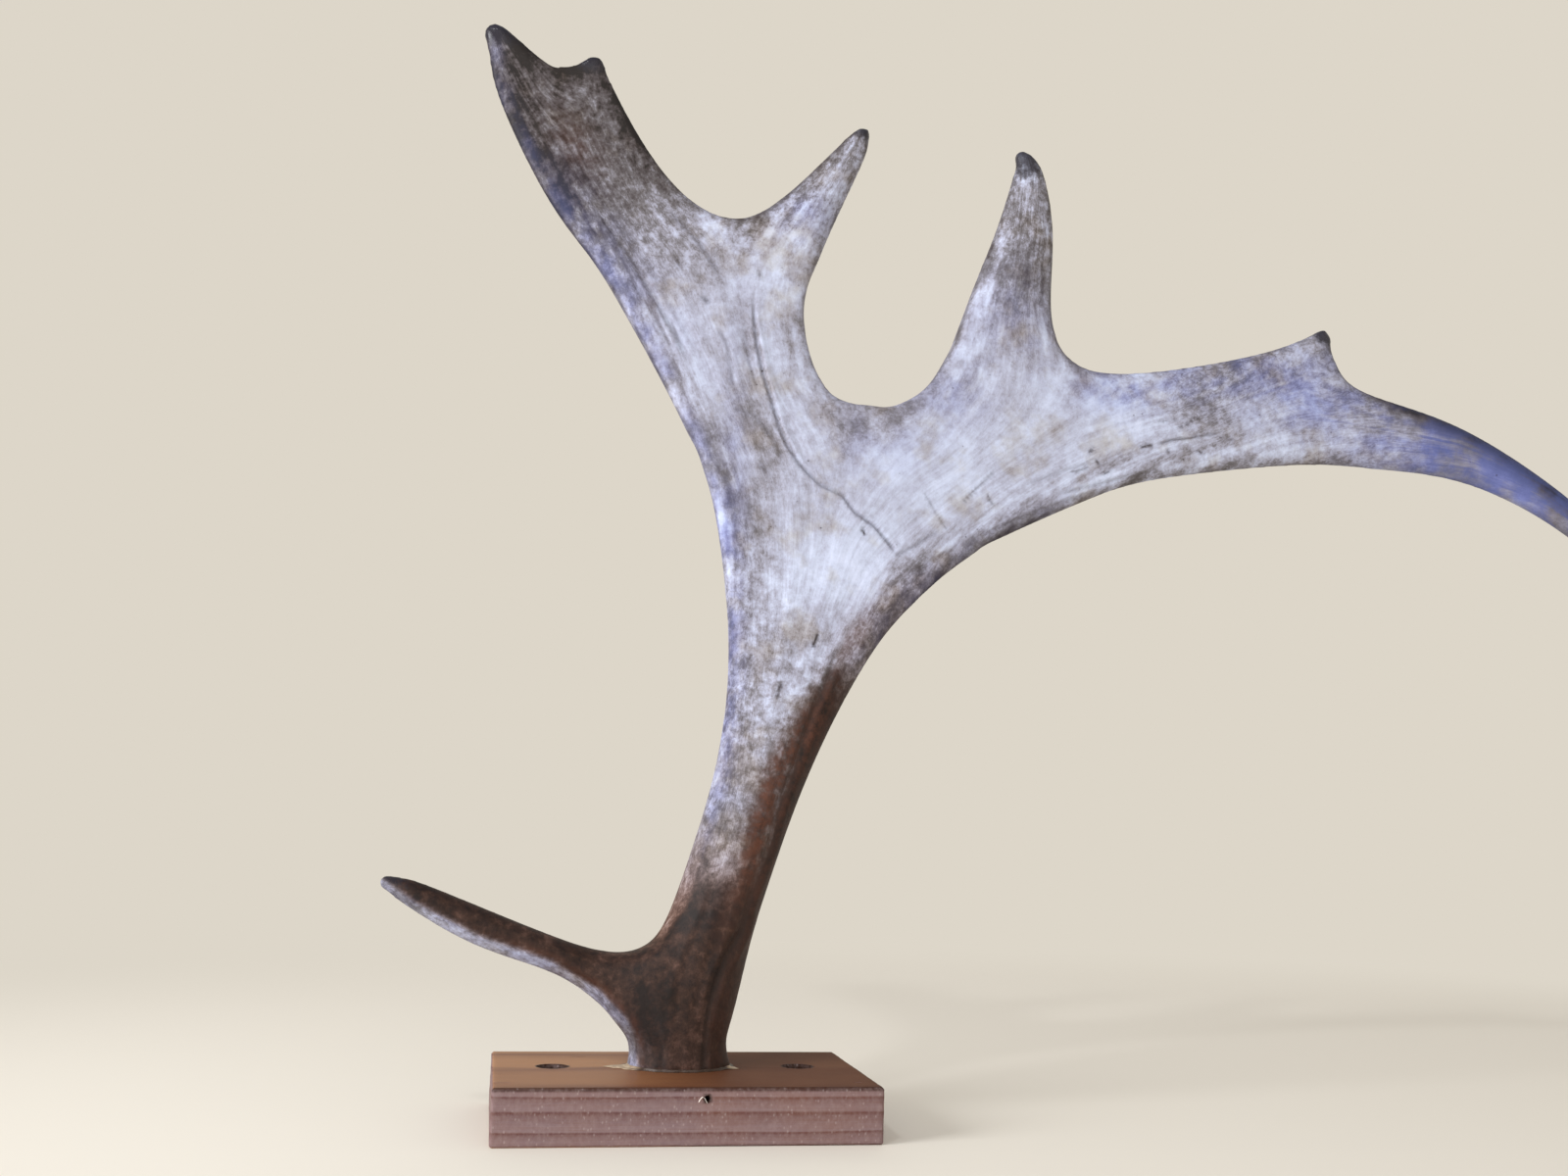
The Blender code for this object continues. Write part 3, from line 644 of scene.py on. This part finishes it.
boneFinish = {
    "growthLines": 46.0,  # how often the streaks change from the left edge to the right
    "mottleScale": 0.24,  # spots of about 4 mm
    "clouds": 0.16,  # how much each pattern darkens or lightens the bone
    "streaks": 0.36,
    "violetTintAndSheen": 0.36,
    "bump": 0.45,
    "tipPolish": 0.42,
    "tones": [(0.0, "#D2D9F2"), (0.15, "#BFC6DD"), (0.30, "#A9ABBF"), (0.45, "#908E9B"), (0.58, "#77747B"),
              (0.70, "#605B5E"), (0.82, "#494244"), (0.92, "#36302F"), (1.0, "#262120")],
    "brownTones": [(0.0, "#D9D2D6"), (0.2, "#B8AAA6"), (0.4, "#8E7972"), (0.54, "#6E554C"), (0.66, "#513A32"),
                   (0.78, "#392720"), (0.9, "#291B17"), (1.0, "#1D1412")],
    "strokes": [(0.1, "#0C0C0C"), (0.45, "#707070"), (0.62, "#585858"), (0.8, "#262626")],  # white is strongest
    "warm": "#DECBA4",
    "violet": "#6B78BA",
    "rust": "#6A4030",
    "tip": "#2B2931",
    # painted shade in the creases, and dirt
    "dirt": "#352C2A",
}


def weatheredAntler():
    # Shed antler: dense bone, weathered, pale and dull on the palm, dark and smooth at its foot and tips
    material, shader, add = newMaterial("weatheredAntler")
    place = add("TexCoord", output="Object")
    inMm = add("VectorMath MULTIPLY", (place, (1000, 1000, 1000)))
    mask = {}
    for name in "growth stain tip rust violet dirt streak brown cream calm marble".split():
        mask[name] = add("Attribute", output="Fac", attribute_name=name)
    # coordinates that are drawn out along the growth lines
    across = add("Math MULTIPLY", (mask["growth"], boneFinish["growthLines"]))
    acrossVector = add("CombineXYZ", across)
    along = add("VectorMath MULTIPLY", (inMm, (0.06, 0.25, 0.06)))
    fibre = add("VectorMath ADD", (along, acrossVector))
    # the same, but only a little drawn out, for the short strokes of the felted pattern
    acrossLittle = add("VectorMath MULTIPLY", (acrossVector, (0.5, 0.5, 0.5)))
    alongLittle = add("VectorMath MULTIPLY", (inMm, (0.13, 0.25, 0.13)))
    felted = add("VectorMath ADD", (alongLittle, acrossLittle))

    cloud = add("TexNoise", {"Vector": inMm, "Scale": 0.05, "Detail": 2, "Roughness": 0.5})
    mottleScale = boneFinish["mottleScale"]
    mottle = add("TexNoise", {"Vector": inMm, "Scale": mottleScale, "Detail": 5, "Roughness": 0.72})
    streaks = add("TexNoise", {"Vector": fibre, "Scale": 0.9, "Detail": 4, "Roughness": 0.62})
    twisted = {"Roughness": 0.62, "Distortion": 0.5}
    strokes = add("TexNoise", {"Vector": felted, "Scale": 2.2, "Detail": 3, **twisted})
    marble = add("TexNoise", {"Vector": inMm, "Scale": 0.27, "Detail": 4, **twisted})

    # pigment lies in patches with fairly sharp rims, so each noise is spread out before it is added
    mottled = add("MapRange", (mottle, 0.34, 0.66, -0.5, 0.5))
    streaked = add("MapRange", (streaks, 0.34, 0.66, -0.5, 0.5))
    clouded = add("MapRange", (cloud, 0.3, 0.7, -0.5, 0.5))
    marbled = add("MapRange", (marble, 0.36, 0.64, -0.12, 0.12))
    strokeLine = add("Math ABSOLUTE", add("Math SUBTRACT", (strokes, 0.5)))
    strokeLine = add("MapRange", (strokeLine, 0.0, 0.075, 1.0, 0.0))
    # the palest bone is the most even
    lively = add("MapRange", (mask["calm"], 0.0, 1.0, 1.0, 0.3), clamp=False)
    mottleWeight = add("MapRange", (mask["stain"], 0.18, 0.45, 0.14, 0.34))
    mottleWeight = add("Math MULTIPLY", (mottleWeight, lively))
    brownCalm = add("MapRange", (mask["brown"], 0.0, 1.0, 1.0, 0.66))
    mottleWeight = add("Math MULTIPLY", (mottleWeight, brownCalm))
    tone = add("Math MULTIPLY_ADD", (mottled, mottleWeight, mask["stain"]))
    tone = add("Math MULTIPLY_ADD", (clouded, boneFinish["clouds"], tone))
    streakWeight = add("Math MULTIPLY", (mask["streak"], boneFinish["streaks"]))
    tone = add("Math MULTIPLY_ADD", (streaked, streakWeight, tone))
    # strokes show most where there is already some pigment
    strokeWeight = add("ValToRGB", tone, stops=boneFinish["strokes"])
    strokeWeight = add("Math MULTIPLY", (strokeWeight, lively))
    tone = add("Math MULTIPLY_ADD", (strokeLine, strokeWeight, tone))
    # the beam and the foot are marbled with soft spots of 3 to 4 mm
    tone = add("Math MULTIPLY_ADD", (marbled, mask["marble"], tone))
    colour = add("ValToRGB", tone, stops=boneFinish["tones"])
    brownTone = add("ValToRGB", tone, stops=boneFinish["brownTones"])
    colour = add("Mix RGBA", (mask["brown"], colour, brownTone))

    # warm, violet and rust colours, each broken up by its own noise; the violet is partly the bone's own tint,
    # partly a painted sheen of reflected sky
    warmNoise = add("TexNoise", noise_dimensions="4D",
                        values={"Vector": inMm, "W": 3, "Scale": 0.07, "Detail": 3, "Roughness": 0.6})
    creamed = add("Math MULTIPLY_ADD", (mask["cream"], 0.12, warmNoise))
    warm = add("MapRange", (creamed, 0.54, 0.7, 0.0, 0.5))
    colour = add("Mix RGBA", (warm, colour, boneFinish["warm"]), blend_type="MULTIPLY")
    violetPart = add("SeparateColor", warmNoise.node.outputs["Color"], "Green")
    violetPart = add("Math MULTIPLY_ADD", (streaked, 0.16, violetPart))
    violetBreak = add("MapRange", (violetPart, 0.38, 0.6, 0.12, 0.8))
    violet = add("Math MULTIPLY", (violetBreak, mask["violet"]), use_clamp=True)
    colour = add("Mix RGBA", (violet, colour, boneFinish["violet"]), blend_type="SOFT_LIGHT")
    violetTintAndSheen = add("Math MULTIPLY", (violet, boneFinish["violetTintAndSheen"]))
    rustBreak = add("MapRange", (mottle, 0.36, 0.6, 0.0, 0.75))
    rust = add("Math MULTIPLY", (rustBreak, mask["rust"]), use_clamp=True)
    # dark specks of about half a millimetre
    speck = add("TexVoronoi", {"Vector": inMm, "Scale": 0.22})
    speck = add("MapRange", (speck, 0.05, 0.11, 0.7, 0.0))
    speckBreak = add("MapRange", (mottle, 0.52, 0.6))
    speck = add("Math MULTIPLY", (speck, speckBreak))
    creaseShadeAndDirtBreak = add("MapRange", (streaks, 0.3, 0.65, 0.45, 1.0))
    dirt = add("Math MULTIPLY_ADD", (creaseShadeAndDirtBreak, mask["dirt"], speck), use_clamp=True)
    tipBroken = add("Math MULTIPLY_ADD", (mottled, 0.35, mask["tip"]))
    tip = add("MapRange", (tipBroken, 0.15, 0.7, 0.0, 0.92), interpolation_type="SMOOTHSTEP")
    for share, name in ((violetTintAndSheen, "violet"), (rust, "rust"), (dirt, "dirt"), (tip, "tip")):
        colour = add("Mix RGBA", (share, colour, boneFinish[name]))

    # dull on the palm, smoother where it is dark, polished at the tips
    dull = add("MapRange", (tone, 0.2, 0.9, 0.7, 0.6))
    fillInputs(shader, {
        "Base Color": colour,
        "Roughness": add("Math MULTIPLY_ADD", (tip, -boneFinish["tipPolish"], dull)),
        "IOR": 1.54,
        "Specular IOR Level": 0.2,  # the open, porous surface mirrors less than solid bone
        "Normal": add("Bump", {"Strength": boneFinish["bump"], "Distance": 0.0005, "Height": mottle}),
    })
    return material


wear(antler, weatheredAntler())
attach(antler, "root")
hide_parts(*antlerShape["limbs"])
print("antler finished")


# Glue: a thin smear that was pressed out from under the antler's foot

glueSmear = {  # millimetres
    "points": 96,
    # angle, reach and spread of each tongue of glue
    "tails": [(180, 8.0, 8), (196, 3.0, 12), (-14, 3.4, 7), (12, 1.4, 12), (100, 1.0, 30)],
    "table": 18.0,  # the top of the block
    "film": 0.3,
    "fillet": 0.9,
    "step": 0.5,
    "tones": [(0.3, "#846C56"), (0.52, "#B09A80"), (0.72, "#CDBB9E")],
    "dirty": "#3B2A20",
}


def gluedFoot():
    middleX, middleY = antlerShape["footMiddle"]
    count = glueSmear["points"]
    table = glueSmear["table"]
    foot = pointsOf(antler) / mm
    foot = foot[foot[:, 2] < table + 1.2]
    angles = np.degrees(np.arctan2(foot[:, 1] - middleY, foot[:, 0] - middleX)) % 360
    radii = np.hypot(foot[:, 0] - middleX, foot[:, 1] - middleY)
    around = np.arange(count) * 360 / count
    footRadius = np.array([radii[np.abs((angles - angle + 180) % 360 - 180) < 6].max() for angle in around])
    bearing = np.radians(around)
    spread = 0.16 + 0.10 * np.sin(bearing * 9 + 1) + 0.08 * np.sin(bearing * 23)
    for angle, reach, width in glueSmear["tails"]:
        away = (around - angle + 180) % 360 - 180
        spread += reach * bell(away, width) * (1 + 0.12 * np.sin(bearing * 37))
    # one row of points for each step from the outer rim up to the foot and in under it, as its share of the
    # spread and its height
    rows = [(0.97, 0.0), (1.0, 0.1), (0.97, 0.2), (0.8, glueSmear["film"]), (0.45, 0.36), (0.16, 0.5)]
    rowRadii = [footRadius + spread * share for share, height in rows]
    rowRadii += [footRadius + 0.1, footRadius - 0.5, footRadius - 3]
    heights = [height for share, height in rows] + [0.4 + 0.5 * glueSmear["fillet"], glueSmear["fillet"], 0.5]
    glue = newDisc("glue", count, 20 * mm)
    for row in heights[1:]:
        extrude((0, 0, glueSmear["step"] * mm))
    leaveEdit()
    points = pointsOf(glue)
    row = np.rint(points[:, 2] / (glueSmear["step"] * mm)).astype(int)
    turn = np.degrees(np.arctan2(points[:, 1], points[:, 0])) % 360
    spoke = np.rint(turn / (360 / count)).astype(int) % count
    bearing = bearing[spoke]
    radius = np.array(rowRadii)[row, spoke]
    lumps = 0.10 * np.sin(bearing * 17 + row) + 0.08 * np.sin(bearing * 31 + 2 * row)
    height = table + np.array(heights)[row] + np.where((row > 1) & (row < 7), lumps, 0)
    places = [middleX + radius * np.cos(bearing), middleY + radius * np.sin(bearing), height]
    movePoints(glue, np.stack(places, 1) * mm)
    editAll(glue)
    faceOutwards()
    glue.data.shade_smooth()
    # only the two smears beside the foot are clean enough to show cream
    setMask(glue, "cream", softStep(1.2, 3.0, spread)[spoke])
    return glue


def driedGlue():
    # Dried wood glue: cream-yellow and slightly cloudy, with a dull skin and dust in it
    material, shader, add = newMaterial("driedGlue")
    place = add("TexCoord", output="Object")
    inMm = add("VectorMath MULTIPLY", (place, (1000, 1000, 1000)))
    dust = add("TexNoise", {"Vector": inMm, "Scale": 0.5, "Detail": 5, "Roughness": 0.65})
    colour = add("ValToRGB", dust, stops=glueSmear["tones"])
    cream = add("Attribute", output="Fac", attribute_name="cream")
    fillInputs(shader, {
        "Base Color": add("Mix RGBA", (cream, glueSmear["dirty"], colour)),
        "Roughness": 0.5,
        "IOR": 1.48,
        "Normal": add("Bump", {"Strength": 0.4, "Distance": 0.0004, "Height": dust}),
    })
    return material


glue = gluedFoot()
wear(glue, driedGlue())
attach(glue, "root")
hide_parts("glue_bed")
print("glue finished")


# Block: a planed offcut of pine with its front edge left from the saw

pineBlock = {
    "size": (125.0, 79.0, 18.0),  # millimetres
    "squares": (125, 79, 23),  # how many small squares each side is cut into
    "arris": 0.8,
    "screwHoles": [(-42.2, 4.6), (42.2, 4.6)],
    "holeRadius": 2.6,
    "sinkRadius": 5.6,
    "sinkDepth": 4.2,
    "nailHole": (4.9, 14.5),  # x and z on the front edge
    "dents": [(24.3, 5.6, 1.6, 0.25), (-36.5, 15.4, 0.9, 0.12), (-26.5, 6.4, 0.8, 0.1), (2.0, 14.6, 1.2, 0.12)],
    "slits": [(-59.6, -29.2, 3.4), (55.8, -29.2, 1.6), (-32.3, 26.3, 3.2)],  # x, y and half length on the top
    "heart": (-20, -260),  # y and z of the middle of the trunk, which is below the block
    "firstRing": 260,  # the rings are counted from this distance
    "rings": [(4.9, 1.0), (10.7, 1.5), (15.4, 1.0), (18.45, 0.7), (22.6, 0.9)],  # place and width, latewood
    "early": "#AE7B52",
    "late": "#7C4F38",
    # painted shade on the top, for the antler's shadow and a darker reflection in the varnish
    "paintedTopShade": "#4A2413",
    # the sawn edges, with painted shade and a painted bluish reflection
    "sawnShadedEarly": "#7F6B6E",
    "sawnShadedLate": "#5A3C3D",
    # painted shade in the bores and the nail hole, also laid on the front arris
    "bore": "#2F1C14",
    "grain": "#6B4330",
    "blotch": "#8A5E42",
    "sawMark": "#94817F",
    "fleck": "#B3A5A3",
}


def turnedCutter(place, rings):
    # a many-sided plug: each (radius, height) in rings is one more extrusion upwards
    centre = (place[0] * mm, place[1] * mm, rings[0][1] * mm)
    cutter = newDisc("cutter", 40, rings[0][0] * mm, centre)
    for (radius, height), (lastRadius, lastHeight) in zip(rings[1:], rings):
        extrude((0, 0, (height - lastHeight) * mm))
        share = radius / lastRadius
        bpy.ops.transform.resize(value=(share, share, 1), center_override=(centre[0], centre[1], 0))
    faceOutwards()
    return cutter


def cutAway(piece, cutter):
    applyModifier(piece, "BOOLEAN", operation="DIFFERENCE", solver="EXACT", object=cutter)
    bpy.data.objects.remove(cutter)


def sawnBlock():
    depth, height = pineBlock["size"][1:]
    bpy.ops.object.select_all(action="DESELECT")
    bpy.ops.mesh.primitive_cube_add(size=mm, location=(0, 0, height / 2 * mm), scale=pineBlock["size"])
    block = bpy.context.object
    block.name = "block"
    applyPlace(block)
    editAll(block)
    bpy.ops.mesh.bevel(offset=pineBlock["arris"] * mm, segments=3, profile=0.5)
    # cut the long faces into small squares, along one direction after the other
    for axis, squares in enumerate(pineBlock["squares"]):
        bpy.ops.mesh.select_all(action="DESELECT")
        bpy.ops.mesh.select_mode(type="EDGE")
        leaveEdit()
        shortest = 0.5 * pineBlock["size"][axis] * mm
        for edge in block.data.edges:
            first, second = (block.data.vertices[i].co for i in edge.vertices)
            edge.select = abs(first[axis] - second[axis]) > shortest
        bpy.ops.object.mode_set(mode="EDIT")
        bpy.ops.mesh.subdivide(number_cuts=squares - 1)
    bpy.ops.mesh.select_mode(type="VERT")
    leaveEdit()

    place = pointsOf(block) / mm
    normal = pointsOf(block, "normal")
    x, y, z = place.T
    inward = 0.03 * (1 + np.sin(x / 7.3 + 1.1 * np.sin(y / 5)) * np.sin(y / 6.1 + z / 3))
    # the soft wood between the latewood layers has worn down a little more
    heartY, heartZ = pineBlock["heart"]
    ring = np.hypot(y - heartY, z - heartZ) - pineBlock["firstRing"]
    hard = sum(bell(ring - middle, width) for middle, width in pineBlock["rings"])
    inward += 0.05 * (1 - np.clip(hard, 0, 1))
    # the saw left shallow upright waves on the front edge
    front = softStep(-0.6, -0.9, normal[:, 1])
    inward += front * 0.05 * (1 + np.sin(x * 2.1 + 0.6 * np.sin(z)) * np.sin(x / 9))
    for middleX, middleZ, radius, pressed in pineBlock["dents"]:
        inward += front * pressed * np.exp(-((x - middleX) ** 2 + (z - middleZ) ** 2) / radius**2)
    corner = (np.abs(normal) > 0.35).sum(1) > 1
    chips = np.sin(x * 0.83 + 2) * np.sin(x * 0.31) * np.sin(x * 1.9 + y * 0.7) + np.sin(y * 0.9 + z)
    inward += corner * (0.08 + 0.12 * np.clip(chips, 0, 1))
    movePoints(block, (place - normal * inward[:, None]) * mm)

    bore = pineBlock["holeRadius"]
    sink = pineBlock["sinkRadius"]
    for hole in pineBlock["screwHoles"]:
        steps = [(bore, -2), (bore, height - pineBlock["sinkDepth"]), (sink - 0.35, height - 0.35),
                 (sink, height + 0.05), (sink + 0.3, height + 1)]
        cutAway(block, turnedCutter(hole, steps))
    for slitX, slitY, halfLength in pineBlock["slits"]:
        bpy.ops.object.select_all(action="DESELECT")
        bpy.ops.mesh.primitive_uv_sphere_add(segments=16, ring_count=8, radius=mm, scale=(halfLength, 0.3, 0.7),
                                             location=(slitX * mm, slitY * mm, height * mm),
                                             rotation=(0, 0, math.radians(2)))
        slit = bpy.context.object
        applyPlace(slit)
        cutAway(block, slit)
    nailX, nailZ = pineBlock["nailHole"]
    nail = turnedCutter((0, 0), [(0.55, -7), (0.8, -1.2), (1.05, -0.3), (1.5, 0.4)])
    nail.rotation_euler = (math.radians(90), 0, 0)
    nail.location = (nailX * mm, -depth / 2 * mm, nailZ * mm)
    applyPlace(nail)
    cutAway(block, nail)
    makeActive(block)
    bpy.ops.object.shade_smooth_by_angle(angle=math.radians(35))

    # painted shade darkens the bores and the nail hole, and the front arris of the top is darker
    x, y, z = pointsOf(block).T / mm
    dark = 0.75 * (z > height - 0.9) * (np.abs(np.abs(y) - depth / 2) < 1.0) * (y < 0)
    for holeX, holeY in pineBlock["screwHoles"]:
        dark = np.maximum(dark, (np.hypot(x - holeX, y - holeY) < sink + 0.02) * (z > 0.2))
    dark = np.maximum(dark, (np.hypot(x - nailX, z - nailZ) < 1.6) * (y < -25))
    setMask(block, "holeShadeAndArris", dark)
    # painted shade: the top is darkest in front of the antler's foot and to the right of it, for the antler's
    # shadow and a darker reflection in the varnish
    setMask(block, "paintedTopShade", 0.9 * softStep(-26, 20, x) + 0.25 * bell(y + depth / 2, 1.6))
    return block


splinter = {  # curls out of the nail hole and back
    "path": [(2.0, 13.4), (2.5, 14.3), (3.1, 15.1), (3.7, 15.2), (4.1, 14.5), (4.6, 13.7), (4.9, 13.2)],
    "front": -39.3,
    "radius": 0.2,
    "tones": [(0.35, "#CDBDB4"), (0.65, "#F0E8E2")],
}


def tornFibre():
    path = splinter["path"]
    start = (path[0][0] * mm, splinter["front"] * mm, path[0][1] * mm)
    fibre = newDisc("tornFibre", 8, splinter["radius"] * mm, start, (0, math.radians(30), 0))
    for (ax, az), (bx, bz) in zip(path, path[1:]):
        extrude(((bx - ax) * mm, 0, (bz - az) * mm))
    faceOutwards()
    applyModifier(fibre, "SUBSURF", levels=2, render_levels=2)
    fibre.data.shade_smooth()
    return fibre


def varnishedPine():
    # Pine board: soft warm earlywood with harder, darker latewood layers, under one thin coat of clear varnish
    material, shader, add = newMaterial("varnishedPine")
    place = add("TexCoord", output="Object")
    inMm = add("VectorMath MULTIPLY", (place, (1000, 1000, 1000)))
    # how far a point lies from the heart of the tree
    heartY, heartZ = pineBlock["heart"]
    fromHeart = add("VectorMath MULTIPLY_ADD", (inMm, (0, 1, 1), (0, -heartY, -heartZ)))
    distance = add("VectorMath LENGTH", fromHeart)
    stretched = add("VectorMath MULTIPLY", (inMm, (0.012, 0.09, 0.09)))
    drift = add("TexNoise", {"Vector": stretched, "Scale": 1, "Detail": 3, "Roughness": 0.5})
    ring = add("Math MULTIPLY_ADD", (drift, 1.6, distance))
    # 25 mm of rings run from 0 to 1, less the 0.8 mm that the drift adds on average
    ring = add("Math MULTIPLY_ADD", (ring, 1 / 25, -(pineBlock["firstRing"] + 0.8) / 25))
    stops = [(0.0, "#000000")]
    for middle, width in pineBlock["rings"]:
        for share, level in ((-2.4, "#101010"), (-0.5, "#B0B0B0"), (0.3, "#FFFFFF"), (0.75, "#101010")):
            stops.append(((middle + share * width) / 25, level))
    late = add("ValToRGB", ring, stops=stops)
    fibreVector = add("VectorMath MULTIPLY", (inMm, (0.05, 2.6, 2.6)))
    fibres = add("TexNoise", {"Vector": fibreVector, "Scale": 1, "Detail": 4, "Roughness": 0.6})
    blotch = add("TexNoise", {"Vector": inMm, "Scale": 0.035, "Detail": 3, "Roughness": 0.5})

    # only the top and the underside are planed, the four edges are left from the saw; their greyer, mauve
    # colour is partly painted shade and a painted bluish reflection in the varnish
    edges = add("SeparateXYZ", add("NewGeometry", output="Normal"), "Z")
    edges = add("MapRange", (add("Math ABSOLUTE", edges), 0.8, 0.6))
    paintedTopShade = add("Attribute", output="Fac", attribute_name="paintedTopShade")
    holeShadeAndArris = add("Attribute", output="Fac", attribute_name="holeShadeAndArris")
    # little torn fibres on the sawn edge catch the light: upright flecks of 0.2 by 0.6 mm
    fleckVector = add("VectorMath MULTIPLY", (inMm, (0.9, 0.6, 0.55)))
    fleckCells = add("TexVoronoi", {"Vector": fleckVector, "Scale": 1})
    fleck = add("MapRange", (fleckCells, 0.12, 0.32, 0.3, 0.0))
    pick = add("SeparateColor", fleckCells.node.outputs["Color"])
    fleck = add("Math MULTIPLY", (fleck, add("Math GREATER_THAN", (pick, 0.6))))
    sawVector = add("VectorMath MULTIPLY", (inMm, (0.8, 0.5, 0.5)))
    sawMark = add("TexNoise", {"Vector": sawVector, "Scale": 1, "Detail": 3, "Roughness": 0.7})
    sawMark = add("MapRange", (sawMark, 0.4, 0.72, 0.0, 0.35))

    planed = add("Mix RGBA", (late, pineBlock["early"], pineBlock["late"]))
    # the top takes its painted shade
    planed = add("Mix RGBA", (paintedTopShade, planed, pineBlock["paintedTopShade"]))
    # the edges' colour carries painted shade and a painted bluish reflection
    sawnShaded = add("Mix RGBA", (late, pineBlock["sawnShadedEarly"], pineBlock["sawnShadedLate"]))
    colour = add("Mix RGBA", (edges, planed, sawnShaded))
    layers = {
        "grain": add("MapRange", (fibres, 0.3, 0.75, 0.0, 0.35)),
        # painted shade in the holes, and the darker front arris
        "blotch": add("MapRange", (blotch, 0.4, 0.7, 0.0, 0.2)),
        "bore": holeShadeAndArris,
        "sawMark": add("Math MULTIPLY", (sawMark, edges)),
        "fleck": add("Math MULTIPLY", (fleck, edges)),
    }
    for name, share in layers.items():
        colour = add("Mix RGBA", (share, colour, pineBlock[name]))
    rough = add("MapRange", (edges, 0.0, 1.0, 0.42, 0.62))
    relief = add("Math MULTIPLY_ADD", (late, 0.5, fibres))
    fillInputs(shader, {
        "Base Color": colour,
        "Roughness": add("Math MULTIPLY_ADD", (paintedTopShade, 0.3, rough)),  # rougher where the top's shade is painted
        "Coat Weight": 0.03,
        "Coat Roughness": 0.3,
        "IOR": 1.5,
        "Specular IOR Level": 0.12,  # old varnish has gone dull
        "Normal": add("Bump", {"Strength": 0.35, "Distance": 0.0003, "Height": relief}),
    })
    return material


def bareFibre():
    # Torn pine fibre: bare, pale wood that the varnish never reached
    material, shader, add = newMaterial("barePineFibre")
    place = add("TexCoord", output="Object")
    strands = add("TexNoise", {"Vector": place, "Scale": 2500, "Detail": 3})
    colour = add("ValToRGB", strands, stops=splinter["tones"])
    fillInputs(shader, {"Base Color": colour, "Roughness": 0.8})
    return material


block = sawnBlock()
wear(block, varnishedPine())
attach(block, "root")
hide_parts("mounting_block")
fibre = tornFibre()
wear(fibre, bareFibre())
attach(fibre, "root")
print("block finished:", len(block.data.polygons), "faces")


# Camera, lights and stage

cameraView = {
    "place": (-0.06745, -0.54848, 0.10125),
    "turn": (98.541, -1.579, -10.51),
    "lens": 36.0,  # with a 36 mm sensor, as the photograph's perspective gives
}
camera = bpy.data.objects.new("camera", bpy.data.cameras.new("camera"))
bpy.context.collection.objects.link(camera)
camera.location = cameraView["place"]
camera.rotation_euler = [math.radians(angle) for angle in cameraView["turn"]]
camera.data.lens = cameraView["lens"]
camera.data.sensor_width = 36.0
camera.data.clip_start = 0.01
bpy.context.scene.camera = camera

lamps = {  # place, what it points at, size in metres and power in watts
    "window": ((-1.1, -0.55, 0.4), (0.05, 0.0, 0.18), 0.55, 16.8),
    "front": ((0.1, -1.35, 0.4), (0.1, 0.0, 0.18), 1.0, 3.5),
    "glint": ((-0.55, -0.85, 1.15), (0.05, 0.0, 0.3), 0.1, 2.5),  # small and high, for the shine on the tips
    "back": ((0.3, 1.3, 0.6), (0.1, 0.0, 0.2), 1.2, 3.2),  # lifts the back, which the other lamps leave dark
}
for name, (place, target, size, power) in lamps.items():
    lamp = bpy.data.objects.new(name, bpy.data.lights.new(name, "AREA"))
    bpy.context.collection.objects.link(lamp)
    lamp.location = place
    lamp.rotation_euler = (Vector(target) - Vector(place)).to_track_quat("-Z", "Y").to_euler()
    lamp.data.size = size
    lamp.data.energy = power
    lamp.data.color = (0.95, 0.97, 1.0)
    lamp.visible_camera = False
    lamp.visible_glossy = name != "back"  # the varnish doesn't mirror the lamp behind

stage = {
    "radius": 1.6,
    "wallRadius": 0.5,
    "wallSteps": 8,
    "wallHeight": 1.6,
    "colour": "#F0EADF",
    "glow": "#DDD6C9",
    "sky": "#E8EAF0",
}


def paperStage():
    # Studio paper: matt, plain and pale, swept up all round so that no edge shows, and lit from behind there
    floor = newDisc("floor", 96, stage["radius"])
    bpy.ops.mesh.select_mode(type="EDGE")
    bpy.ops.mesh.region_to_loop()
    before = 0.0
    for step in range(1, stage["wallSteps"] + 1):
        angle = math.radians(90 * step / stage["wallSteps"])
        grown = stage["wallRadius"] * (math.sin(angle) - math.sin(before))
        risen = stage["wallRadius"] * (math.cos(before) - math.cos(angle))
        radiusNow = stage["radius"] + stage["wallRadius"] * math.sin(before)
        share = (radiusNow + grown) / radiusNow
        extrude((0, 0, risen))
        bpy.ops.transform.resize(value=(share, share, 1))
        before = angle
    extrude((0, 0, stage["wallHeight"]))
    bpy.ops.mesh.select_mode(type="VERT")
    leaveEdit()
    floor.data.shade_smooth()
    material, shader, add = newMaterial("matteStudioPaper")
    fillInputs(shader, {"Base Color": stage["colour"], "Roughness": 0.95, "Specular IOR Level": 0.1})
    # the lit part of the floor lies a little to the right, away from the window lamp
    place = add("TexCoord", output="Object")
    flat = add("VectorMath MULTIPLY_ADD", (place, (1, 1, 0), (-0.2, -0.08, 0)))
    fromMiddle = add("VectorMath LENGTH", flat)
    outward = add("MapRange", (fromMiddle, 0.34, 0.74), interpolation_type="SMOOTHSTEP")
    glow = add("Emission", stage["glow"])
    paper = add("MixShader", (outward, shader.outputs["BSDF"], glow))
    fillInputs(material.node_tree.nodes["Material Output"], {"Surface": paper})
    material.cycles.emission_sampling = "NONE"  # it surrounds everything, so it needs no search as a lamp
    wear(floor, material)


paperStage()
world = bpy.data.worlds.new("studio")
bpy.context.scene.world = world
world.use_nodes = True
fillInputs(world.node_tree.nodes["Background"], {"Color": stage["sky"], "Strength": 0.4})
bpy.context.scene.view_settings.view_transform = "Standard"
print("stage set")
